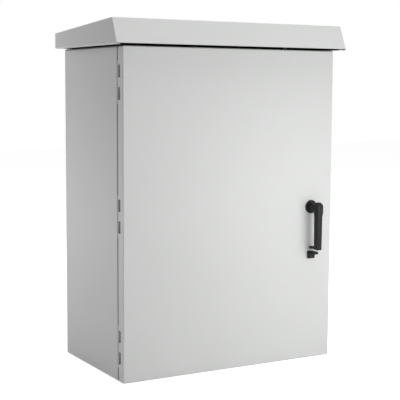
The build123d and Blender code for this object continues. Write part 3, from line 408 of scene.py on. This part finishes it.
hinge_casting = Finish("hinge_casting", specular_ior_level=0.4)
pebble = hinge_casting.noise(800.0, 2.0)
hinge_casting.set(base_color=hinge_casting.blend(pebble, (0.25, 0.26, 0.26), (0.34, 0.35, 0.34)))
hinge_casting.set(roughness=0.42 + 0.2 * pebble)
hinge_casting.set(normal=hinge_casting.bump(pebble, 0.00007))
wear_finish(hinge_casting, *[f"hinge_{place}_{leaf}" for place in ("lower", "middle", "upper")
                             for leaf in ("body_leaf", "door_leaf")])

# %% [markdown]
# Glass-filled nylon comes out of its mould nearly black, with a fine spark-eroded grain that dulls its
# shine. Its edges, which hands rub, turn a little smoother. The grain is a noise of about a millimetre, and a
# low specular level keeps the black deep beside the pale paint.

# %% Black nylon
black_nylon = Finish("black_nylon", specular_ior_level=0.22)
spark = black_nylon.noise(1100.0, 2.0)
rubbed = black_nylon.noise(45.0, 3.0)
black_nylon.set(base_color=black_nylon.blend(rubbed, (0.0065, 0.007, 0.0075), (0.011, 0.0115, 0.012)))
black_nylon.set(roughness=0.40 + 0.14 * rubbed + 0.06 * spark)
black_nylon.set(normal=black_nylon.bump(spark, 0.00005))
wear_finish(black_nylon, "handle_lever", "handle_rosette", "padlock_hasp")

# %% [markdown]
# The other plastics and the rubber differ in their two tones, in how dull they are and in the size and depth
# of their grain. A small function takes those, so that each of them is one call.

# %% Plastics and rubber


def moulding(name, dark, light, dull, grain_scale, grain_depth, shine=0.5):
    finish = Finish(name, specular_ior_level=shine)
    drift = finish.noise(30.0, 3.0)
    grain = finish.noise(grain_scale, 2.0)
    finish.set(base_color=finish.blend(drift * 0.6 + grain * 0.4, dark, light))
    finish.set(roughness=dull + 0.10 * drift + 0.06 * grain)
    finish.set(normal=finish.bump(grain, grain_depth))
    return finish


grey_plastic = moulding("grey_plastic", (0.27, 0.28, 0.28), (0.32, 0.33, 0.33), 0.38, 900.0, 0.00003)
wear_finish(grey_plastic, "rod_guide_upper", "rod_guide_lower", "document_pocket")

duct_plastic = moulding("duct_plastic", (0.39, 0.40, 0.40), (0.43, 0.44, 0.44), 0.34, 500.0, 0.00002)
wear_finish(duct_plastic, "wiring_duct_upper", "wiring_duct_lower", "duct_lid_upper", "duct_lid_lower")

black_rubber = moulding("black_rubber", (0.022, 0.022, 0.023), (0.034, 0.034, 0.035),
                        0.72, 1300.0, 0.00014, 0.3)
wear_finish(black_rubber, "door_gasket", "gland_gasket", "cable_grommets")

breaker_moulding = moulding("breaker_moulding", (0.66, 0.66, 0.64), (0.73, 0.73, 0.71), 0.36, 1000.0, 0.00002)
wear_finish(breaker_moulding, "circuit_breaker_1", "circuit_breaker_2", "circuit_breaker_3")

toggle_moulding = moulding("toggle_moulding", (0.022, 0.022, 0.026), (0.032, 0.032, 0.036),
                           0.30, 1000.0, 0.00002)
wear_finish(toggle_moulding, "breaker_toggle_1", "breaker_toggle_2", "breaker_toggle_3")

terminal_moulding = moulding("terminal_moulding", (0.33, 0.34, 0.33), (0.38, 0.39, 0.38),
                             0.40, 900.0, 0.00003)
wear_finish(terminal_moulding, "terminal_blocks")

power_supply_case = moulding("power_supply_case", (0.10, 0.11, 0.12), (0.13, 0.14, 0.15),
                             0.42, 700.0, 0.00005)
wear_finish(power_supply_case, "power_supply")

# %% [markdown]
# The earth bar is drawn brass. Drawing it through a die leaves fine lines along it, so its noise is stretched
# along X. A second, slow noise gives the darker patches of tarnish.

# %% Drawn brass
earth_brass = Finish("earth_brass", metallic=1.0)
tarnish = earth_brass.noise(80.0, 3.0)
drawn = earth_brass.noise(40.0, 2.0, (1.0, 30.0, 30.0))
earth_brass.set(base_color=earth_brass.blend(tarnish, (0.62, 0.46, 0.20), (0.76, 0.59, 0.29)))
earth_brass.set(roughness=0.22 + 0.12 * tarnish + 0.08 * drawn)
earth_brass.set(normal=earth_brass.bump(drawn, 0.00002))
wear_finish(earth_brass, "earth_bar")

# %% [markdown]
# Each plug-in module is one solid, but it has three finishes: a brushed aluminium front, the green circuit
# board behind it, and a dark pull. They are told apart by depth: the panel is 3 mm thick, the board starts
# behind it, and the pull stands farther out than the screws. Brushed metal is noise stretched along the
# strokes of the brush.

# %% Module fronts
module_low, module_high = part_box("lamp_switch_module_1")
pull_reach = 0.015
pull_radius = 0.003
screw_rise = 0.0026
panel_thick = 0.003
depth_margin = 0.0001
panel_front = module_low.y + pull_reach + pull_radius

module_front = Finish("module_front")
depth = module_front.axis("Y")
is_board = depth > panel_front + panel_thick - depth_margin
is_pull = depth < panel_front - screw_rise
strokes = module_front.noise(50.0, 2.0, (40.0, 40.0, 1.0))
tracks = module_front.noise(140.0, 1.0, (1.0, 1.0, 6.0))
aluminium = module_front.blend(strokes, (0.28, 0.285, 0.29), (0.36, 0.365, 0.37))
board_green = module_front.blend(tracks > 0.52, (0.012, 0.085, 0.035), (0.020, 0.130, 0.055))
front_or_board = module_front.blend(is_board, aluminium, board_green)
module_front.set(base_color=module_front.blend(is_pull, front_or_board, (0.020, 0.020, 0.022)))
module_front.set(metallic=(1.0 - is_board) * (1.0 - is_pull))
module_front.set(roughness=0.50 + 0.12 * strokes)
module_front.set(normal=module_front.bump(strokes, 0.00001))
module_names = ["processor_module"] + [f"lamp_switch_module_{number}" for number in (1, 2, 3, 4)]
wear_finish(module_front, *module_names)
print("panel front at y", round(panel_front, 4))

# %% [markdown]
# Small equal pieces come next: lamps, clamp screws, weld marks and contact pins. A Geometry Nodes tree sets
# them out. A Mesh Line makes one straight row, Instance on Points puts the piece on each of its points, and a
# second one puts the whole row on each start. Realize Instances turns the copies into real faces, because an
# exported model holds no instances. The tree is built once and each row only changes its inputs.

# %% Geometry Nodes tree for rows
row_tree = bpy.data.node_groups.new("rows_of_one_piece", "GeometryNodeTree")
row_inputs = {}
for label, kind in (("Starts", "Geometry"), ("Piece", "Object"), ("Count", "Int"), ("Step", "Vector"),
                    ("Finish", "Material")):
    socket = row_tree.interface.new_socket(label, in_out="INPUT", socket_type=f"NodeSocket{kind}")
    row_inputs[label] = socket.identifier
row_tree.interface.new_socket("Pieces", in_out="OUTPUT", socket_type="NodeSocketGeometry")


def tree_node(kind, **settings):
    node = row_tree.nodes.new(kind)
    for key, value in settings.items():
        setattr(node, key, value)
    return node


given = tree_node("NodeGroupInput")
made = tree_node("NodeGroupOutput")
one = tree_node("GeometryNodeObjectInfo")
line = tree_node("GeometryNodeMeshLine", mode="OFFSET")
row = tree_node("GeometryNodeInstanceOnPoints")
all_rows = tree_node("GeometryNodeInstanceOnPoints")
real = tree_node("GeometryNodeRealizeInstances")
dressed = tree_node("GeometryNodeSetMaterial")
for start, end in (
        (given.outputs["Piece"], one.inputs["Object"]),
        (given.outputs["Count"], line.inputs["Count"]),
        (given.outputs["Step"], line.inputs["Offset"]),
        (line.outputs["Mesh"], row.inputs["Points"]),
        (one.outputs["Geometry"], row.inputs["Instance"]),
        (given.outputs["Starts"], all_rows.inputs["Points"]),
        (row.outputs["Instances"], all_rows.inputs["Instance"]),
        (all_rows.outputs["Instances"], real.inputs["Geometry"]),
        (real.outputs["Geometry"], dressed.inputs["Geometry"]),
        (given.outputs["Finish"], dressed.inputs["Material"]),
        (dressed.outputs["Geometry"], made.inputs["Pieces"])):
    row_tree.links.new(start, end)


def evaluated_mesh(holder):
    """The mesh that an object has once its modifiers have worked."""
    bpy.context.view_layer.update()
    graph = bpy.context.evaluated_depsgraph_get()
    return bpy.data.meshes.new_from_object(holder.evaluated_get(graph), depsgraph=graph)


def show(name, mesh, body="cabinet"):
    """Put a mesh in the scene as a piece that moves with a body."""
    piece = bpy.data.objects.new(name, mesh)
    bpy.context.scene.collection.objects.link(piece)
    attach(piece, body)
    return piece


def set_out(name, part, starts, count, step, finish, body="cabinet"):
    """Set one part out in straight rows, one row from each start."""
    points = bpy.data.meshes.new(name + "_starts")
    points.from_pydata(starts, [], [])
    holder = bpy.data.objects.new(name + "_rows", points)
    bpy.context.scene.collection.objects.link(holder)
    modifier = holder.modifiers.new("rows", "NODES")
    modifier.node_group = row_tree
    for label, value in (("Piece", part), ("Count", count), ("Step", step), ("Finish", finish.material)):
        modifier[row_inputs[label]] = value
    mesh = evaluated_mesh(holder)
    mesh.name = name
    holder.modifiers.clear()
    bpy.data.objects.remove(holder)
    print(name, len(starts) * count, "pieces,", len(mesh.polygons), "faces")
    return show(name, mesh, body)


# %% [markdown]
# Round parts are made as on a lathe: a profile of radius and depth is swept round an axis, mostly the one
# that points out of the cabinet. Each profile starts and ends on the axis, so the shape is closed. Blocks are
# cubes with bevelled edges. Faces that meet at less than 35 degrees are shaded as one round surface.

# %% Turned parts and blocks
smooth_angle = math.radians(35)


def finished_mesh(shape, name):
    """Weld a shape's seams, turn its faces outwards and shade it."""
    bmesh.ops.remove_doubles(shape, verts=shape.verts, dist=1e-6)
    bmesh.ops.recalc_face_normals(shape, faces=shape.faces)
    mesh = bpy.data.meshes.new(name)
    shape.to_mesh(mesh)
    shape.free()
    mesh.shade_smooth()
    mesh.set_sharp_from_angle(angle=smooth_angle)
    return mesh


def lathe(shape, profile, steps, place=(0, 0, 0), axis="Y"):
    """Sweep a profile of radius and depth round an axis through a place."""
    rings = []
    for radius, depth in profile:
        ring = []
        for i in range(steps if radius else 1):
            turn = 2 * math.pi * i / steps
            across, up = radius * math.cos(turn), radius * math.sin(turn)
            point = {"Y": (across, depth, up), "X": (depth, across, up), "Z": (across, up, depth)}[axis]
            ring.append(shape.verts.new(Vector(place) + Vector(point)))
        rings.append(ring)
    for first, second in zip(rings, rings[1:]):
        for i in range(steps):
            corners = [first[i % len(first)], first[(i + 1) % len(first)],
                       second[(i + 1) % len(second)], second[i % len(second)]]
            shape.faces.new(list(dict.fromkeys(corners)))


def turned(name, profile, steps, axis="Y"):
    """A turned part, ready to be set out."""
    shape = bmesh.new()
    lathe(shape, profile, steps, axis=axis)
    return bpy.data.objects.new(name, finished_mesh(shape, name))


def rounded_block(name, low, high, radius, segments=2):
    """A block between two corners, with softened edges."""
    shape = bmesh.new()
    bmesh.ops.create_cube(shape, size=1.0)
    for vertex in shape.verts:
        vertex.co = Vector([low[i] if vertex.co[i] < 0 else high[i] for i in range(3)])
    bmesh.ops.bevel(shape, geom=list(shape.edges), offset=radius, segments=segments, affect="EDGES",
                    profile=0.5)
    return bpy.data.objects.new(name, finished_mesh(shape, name))


def cut_by(part, cutter):
    """Take the cutter away from the part, as a slot is milled."""
    for piece in (part, cutter):
        bpy.context.scene.collection.objects.link(piece)
    modifier = part.modifiers.new("cut", "BOOLEAN")
    modifier.operation = "DIFFERENCE"
    modifier.solver = "EXACT"
    modifier.object = cutter
    mesh = evaluated_mesh(part)
    part.modifiers.clear()
    part.data = mesh
    bpy.context.scene.collection.objects.unlink(part)
    bpy.data.objects.remove(cutter)
    return part


# %% [markdown]
# Six signal lamps show on each module: red, amber and green, twice. Each is a clear coloured dome that stands
# a little out of its recess. Unlit coloured plastic is deep in colour and glossy, and a little emission in
# the same colour keeps it from going black inside the cabinet.

# %% Signal lamps on the modules
lamp_lens = turned("lamp_lens", [(0, -0.0008), (0.0007, -0.00066), (0.0012, -0.0003), (0.0014, 0.0002),
                                 (0.0014, 0.0010), (0, 0.0010)], 14)
first_lamp_drop = 0.020
processor_lamp_inset = 0.0125
lamp_pitch = 0.009
lamp_groups = 2
first_lamp_z = module_high.z - first_lamp_drop
module_middles = [(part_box(name)[0].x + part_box(name)[1].x) / 2 for name in module_names[1:]]
lamp_places = [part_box("processor_module")[1].x - processor_lamp_inset] + module_middles
for lamp_index, (colour_name, lens_colour) in enumerate((
        ("red", (0.42, 0.012, 0.008)), ("amber", (0.50, 0.20, 0.010)), ("green", (0.010, 0.26, 0.045)))):
    lens_finish = moulding(f"lens_{colour_name}", shade(0.8, lens_colour), lens_colour, 0.08, 700.0, 0.00001)
    lens_finish.set(emission_color=lens_colour)
    lens_finish.set(emission_strength=0.35)
    set_out(f"module_lamps_{colour_name}", lamp_lens,
            [(x, panel_front, first_lamp_z - lamp_index * lamp_pitch) for x in lamp_places],
            lamp_groups, (0, 0, -3 * lamp_pitch), lens_finish)
bpy.data.objects.remove(lamp_lens)

# %% [markdown]
# The lever is what a hand and the eye go to first. It is a nylon moulding: a head on a conical neck, a long
# deep grip with softly rounded edges, and a lug at its foot that takes a padlock. It could be a cube under a
# Bevel modifier, but its width changes on the way up. So it is lofted: rounded outlines at a few heights are
# joined by faces. The neck is turned, and the hole in the lug is cut with a Boolean. Heights are counted from
# the axis that the lever turns on, and depths from the front of the door.

# %% Lever with its neck and padlock lug
rosette_low, rosette_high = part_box("handle_rosette")
lever_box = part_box("handle_lever")
turn_x = (rosette_low.x + rosette_high.x) / 2
turn_z = (rosette_low.z + rosette_high.z) / 2
door_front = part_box("door_panel")[0].y
corner_steps = 4
sharpest_corner = 0.0008
padlock_hole_radius = 0.0036
padlock_hole_reach = 0.020
padlock_hole_low = -0.112
padlock_hole_high = -0.099
neck_seat = 0.0012
neck_reach = 0.0290


def outline(half, front, back, corner):
    """Points of a rounded rectangle, seen from above."""
    points = []
    for sign_x, y, turn in ((1, back, 0), (-1, back, 1), (-1, front, 2), (1, front, 3)):
        middle_x = sign_x * (half - corner)
        middle_y = y - corner if y == back else y + corner
        for i in range(corner_steps + 1):
            angle = math.pi / 2 * (turn + i / corner_steps)
            points.append((middle_x + corner * math.cos(angle), middle_y + corner * math.sin(angle)))
    return points


def loft(shape, sections):
    """Join rounded outlines, each given as height, half width, front, back and corner radius."""
    rings = [[shape.verts.new((turn_x + x, y, height)) for x, y in outline(half, front, back, corner)]
             for height, half, front, back, corner in sections]
    for first, second in zip(rings, rings[1:]):
        for i in range(len(first)):
            j = (i + 1) % len(first)
            shape.faces.new((first[i], first[j], second[j], second[i]))
    shape.faces.new(rings[0][::-1])
    shape.faces.new(rings[-1])


def section(height, half, front, back, corner, inset=0.0):
    """One outline of the lever: height, half width, depth of its front and back, and corner radius.

    An inset makes it smaller all round, for a rounded or bevelled end.
    """
    return (turn_z + height, half - inset, door_front - front + inset, door_front - back - inset,
            max(corner - inset, sharpest_corner))


grip_sections = [
    section(-0.1094, 0.0076, 0.0423, 0.0252, 0.0032, 0.0022),
    section(-0.1088, 0.0076, 0.0423, 0.0252, 0.0032, 0.0010),
    section(-0.1074, 0.0076, 0.0423, 0.0252, 0.0032),
    section(-0.0240, 0.0082, 0.0428, 0.0250, 0.0034),
    section(-0.0120, 0.0095, 0.0443, 0.0245, 0.0036),
    section(0.0050, 0.0094, 0.0444, 0.0245, 0.0036),
    section(0.0095, 0.0094, 0.0444, 0.0245, 0.0036, 0.0022),
    section(0.0137, 0.0094, 0.0444, 0.0245, 0.0036, 0.0056)]
lug_sections = [
    section(-0.1086, 0.0060, 0.0330, 0.0030, 0.0038, 0.0006),
    section(-0.1080, 0.0060, 0.0330, 0.0030, 0.0038),
    section(-0.1028, 0.0060, 0.0330, 0.0030, 0.0038),
    section(-0.1022, 0.0060, 0.0330, 0.0030, 0.0038, 0.0006)]

lug_shape = bmesh.new()
loft(lug_shape, lug_sections)
lug = bpy.data.objects.new("lug", finished_mesh(lug_shape, "lug"))
hole_shape = bmesh.new()
lathe(hole_shape, [(0, padlock_hole_low), (padlock_hole_radius, padlock_hole_low),
                   (padlock_hole_radius, padlock_hole_high), (0, padlock_hole_high)],
      28, (turn_x, door_front - padlock_hole_reach, turn_z), "Z")
lug = cut_by(lug, bpy.data.objects.new("padlock_hole", finished_mesh(hole_shape, "padlock_hole")))

lever_shape = bmesh.new()
loft(lever_shape, grip_sections)
lever_shape.from_mesh(lug.data)
neck_foot = rosette_low.y + neck_seat
shank_end = lever_box[1].y
lathe(lever_shape, [(0, shank_end), (0.0065, shank_end), (0.0070, shank_end - 0.0005), (0.0070, neck_foot),
                    (0.0115, neck_foot), (0.0118, neck_foot - 0.0006), (0.0112, neck_foot - 0.0060),
                    (0.0092, door_front - neck_reach), (0, door_front - neck_reach)],
      40, (turn_x, 0, turn_z))
bpy.data.objects.remove(lug)
lever_mesh = finished_mesh(lever_shape, "lever")
lever_mesh.materials.append(black_nylon.material)
lever = show("lever", lever_mesh, "handle")
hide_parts("handle_lever")
print("lever:", len(lever_mesh.polygons), "faces")

# %% [markdown]
# Terminals, circuit breakers and the power supply hold their wires with slotted clamp screws, each sunk in
# its hole. One screw is turned and its slot is milled with a Boolean, and the rows tree sets it out.

# %% Clamp screws
clamp_sink = 0.0022
small_height = 0.0016
large_height = 0.0018


def slotted_screw(name, radius, height):
    head = turned(name, [(0, -height), (0.8 * radius, -height), (radius, -0.7 * height),
                         (radius, 0), (0, 0)], 16)
    slot = rounded_block("slot", (-1.3 * radius, -1.5 * height, -0.2 * radius),
                         (1.3 * radius, -0.45 * height, 0.2 * radius), 0.00005, 1)
    return cut_by(head, slot)


small_screw = slotted_screw("small_screw", 0.0023, small_height)
large_screw = slotted_screw("large_screw", 0.0027, large_height)

terminal_low, terminal_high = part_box("terminal_blocks")
terminal_count = 14
terminal_pitch = (terminal_high.x - terminal_low.x) / terminal_count
terminal_row_offset = 0.0067
terminal_middle = (terminal_low.z + terminal_high.z) / 2
set_out("terminal_screws", small_screw,
        [(terminal_low.x + terminal_pitch / 2, terminal_low.y + clamp_sink + small_height,
          terminal_middle + side) for side in (-terminal_row_offset, terminal_row_offset)],
        terminal_count, (terminal_pitch, 0, 0), zinc_fastener)

breaker_boxes = [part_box(f"circuit_breaker_{number}") for number in (1, 2, 3)]
breaker_middle = (breaker_boxes[0][0] + breaker_boxes[0][1]) / 2
breaker_pitch = breaker_boxes[1][0].x - breaker_boxes[0][0].x
breaker_nose = 0.022
breaker_row_offset = 0.034
set_out("breaker_screws", large_screw,
        [(breaker_middle.x, breaker_boxes[0][0].y + breaker_nose + clamp_sink + large_height,
          breaker_middle.z + side)
         for side in (-breaker_row_offset, breaker_row_offset)],
        len(breaker_boxes), (breaker_pitch, 0, 0), zinc_fastener)

supply_low, supply_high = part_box("power_supply")
supply_clamps = 6
supply_pitch = (supply_high.x - supply_low.x) / supply_clamps
supply_step_depth = 0.014
supply_clamp_height = 0.009
set_out("supply_screws", large_screw,
        [(supply_low.x + supply_pitch / 2, supply_low.y + supply_step_depth + clamp_sink + large_height,
          supply_low.z + supply_clamp_height)],
        supply_clamps, (supply_pitch, 0, 0), zinc_fastener)
for screw in (small_screw, large_screw):
    bpy.data.objects.remove(screw)

# %% [markdown]
# The two stiffening rails are spot-welded to the door. Each weld leaves a shallow round dimple with a raised
# rim, every 50 mm along both flanges. A low ring shows that better than bump does, because it catches light
# at its rim from every side.

# %% Weld marks on the door rails
weld = turned("weld", [(0, -0.00005), (0.0018, -0.00005), (0.0023, 0.00035), (0.0030, 0.00020),
                       (0.0034, -0.0002), (0, -0.0002)], 14)
rail_boxes = [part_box("door_rail_left"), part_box("door_rail_right")]
flange_offset = 0.0165
flange_face = -0.1720
first_weld_height = 0.030
weld_pitch = 0.050
weld_count = 13
set_out("weld_marks", weld,
        [((low.x + high.x) / 2 + side, flange_face, low.z + first_weld_height) for low, high in rail_boxes
         for side in (-flange_offset, flange_offset)],
        weld_count, (0, 0, weld_pitch), door_paint, "door")
bpy.data.objects.remove(weld)

# %% [markdown]
# The processor module has a display behind a dark window and a service port. The window is a thin pane with
# softened edges in its recess. The port holds a black insulator with two rows of brass contact pins. Their
# places are those of the recess and the port on the frame, less a little play.

# %% Display window and service port
window_low = (-0.1921, panel_front + 0.0002, 0.6756)
window_high = (-0.1368, panel_front + 0.0013, 0.6948)
insulator_low = (-0.1990, panel_front - 0.0030, 0.6207)
insulator_high = (-0.1714, panel_front + 0.0002, 0.6293)
first_pin_x = -0.1963
pin_base_y = panel_front - 0.0001
pin_rows = (0.6263, 0.6237)
pin_count = 9
pin_pitch = 0.00277

window_glass = moulding("window_glass", (0.010, 0.012, 0.014), (0.014, 0.017, 0.020), 0.06, 300.0, 0.000004)
pane = rounded_block("display_window", window_low, window_high, 0.0003)
pane.data.materials.append(window_glass.material)
show("display_window", pane.data)
bpy.data.objects.remove(pane)

insulator = rounded_block("port_insulator", insulator_low, insulator_high, 0.0008)
insulator.data.materials.append(toggle_moulding.material)
show("port_insulator", insulator.data)
bpy.data.objects.remove(insulator)
pin = turned("pin", [(0, -0.0046), (0.0003, -0.0045), (0.00045, -0.0040), (0.00045, 0), (0, 0)], 10)
set_out("port_pins", pin, [(first_pin_x, pin_base_y, z) for z in pin_rows],
        pin_count, (pin_pitch, 0, 0), earth_brass)
bpy.data.objects.remove(pin)

# %% [markdown]
# The last lamp switch module stands beside empty bays, so the parts on its board show: four power switches
# with cooling tabs, capacitors, chips with their legs, and rows of resistors. Each kind is one small part
# that the rows tree sets out.

# %% Parts on the last circuit board
board_inset = 0.006
board_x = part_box("lamp_switch_module_4")[1].x - board_inset
chip_bays = 3
chip_levels = (0.600, 0.640)
chip_pitch = 0.028
first_chip_y = 0.030
first_leg_y = 0.0236
leg_pitch = 0.00256
leg_offset = 0.0040
legs_a_side = 6
switch_place = (board_x, 0.024, 0.684)
switch_pitch = 0.020
switch_count = 4
capacitor_place = (board_x, 0.120, 0.602)
capacitor_pitch = 0.026
capacitor_count = 4
resistor_rise = 0.0009
resistor_levels = (0.620, 0.660)
first_resistor_y = 0.022
resistor_pitch = 0.0052
resistor_count = 16

tan_ceramic = moulding("tan_ceramic", (0.34, 0.25, 0.16), (0.42, 0.31, 0.20), 0.45, 900.0, 0.00003)
chip = rounded_block("chip", (-0.0004, -0.0080, -0.0032), (0.0034, 0.0080, 0.0032), 0.0005, 1)
chip_leg = rounded_block("chip_leg", (-0.0004, -0.0004, -0.0006), (0.0018, 0.0004, 0.0006), 0.0002, 1)
switch_body = rounded_block("switch_body", (-0.0004, -0.0052, -0.0075), (0.0042, 0.0052, 0.0075), 0.0006, 1)
cooling_tab = rounded_block("cooling_tab", (0.0042, -0.0052, -0.0020), (0.0055, 0.0052, 0.0125), 0.0005, 1)
capacitor = turned("capacitor", [(0, -0.0004), (0.0050, -0.0004), (0.0050, 0.0070), (0.0046, 0.0076),
                                 (0.0050, 0.0082), (0.0050, 0.0098), (0.0045, 0.0104), (0, 0.0102)], 20, "X")
resistor = turned("resistor", [(0, -0.0034), (0.0009, -0.0032), (0.0012, -0.0026), (0.0010, -0.0018),
                               (0.0010, 0.0018), (0.0012, 0.0026), (0.0009, 0.0032), (0, 0.0034)], 12, "Z")
board_rows = (
    ("board_chips", chip, [(board_x, first_chip_y, z) for z in chip_levels],
     chip_bays, (0, chip_pitch, 0), toggle_moulding, "toggle_moulding"),
    ("board_chip_legs", chip_leg, [(board_x, first_leg_y + chip_pitch * bay, z + side)
                                   for bay in range(chip_bays)
                                   for z in chip_levels for side in (-leg_offset, leg_offset)],
     legs_a_side, (0, leg_pitch, 0), zinc_fastener, "zinc_fastener"),
    ("board_switches", switch_body, [switch_place],
     switch_count, (0, switch_pitch, 0), toggle_moulding, "toggle_moulding"),
    ("board_cooling_tabs", cooling_tab, [switch_place],
     switch_count, (0, switch_pitch, 0), zinc_sheet, "zinc_sheet"),
    ("board_capacitors", capacitor, [capacitor_place],
     capacitor_count, (0, 0, capacitor_pitch), power_supply_case, "power_supply_case"),
    ("board_resistors", resistor, [(board_x + resistor_rise, first_resistor_y, z) for z in resistor_levels],
     resistor_count, (0, resistor_pitch, 0), tan_ceramic, None))
for name, part, starts, count, step, finish, slot in board_rows:
    set_out(name, part, starts, count, step, finish)
for part in (chip, chip_leg, switch_body, cooling_tab, capacitor, resistor):
    bpy.data.objects.remove(part)

# %% [markdown]
# The last call updates the view layer.

bpy.context.view_layer.update()
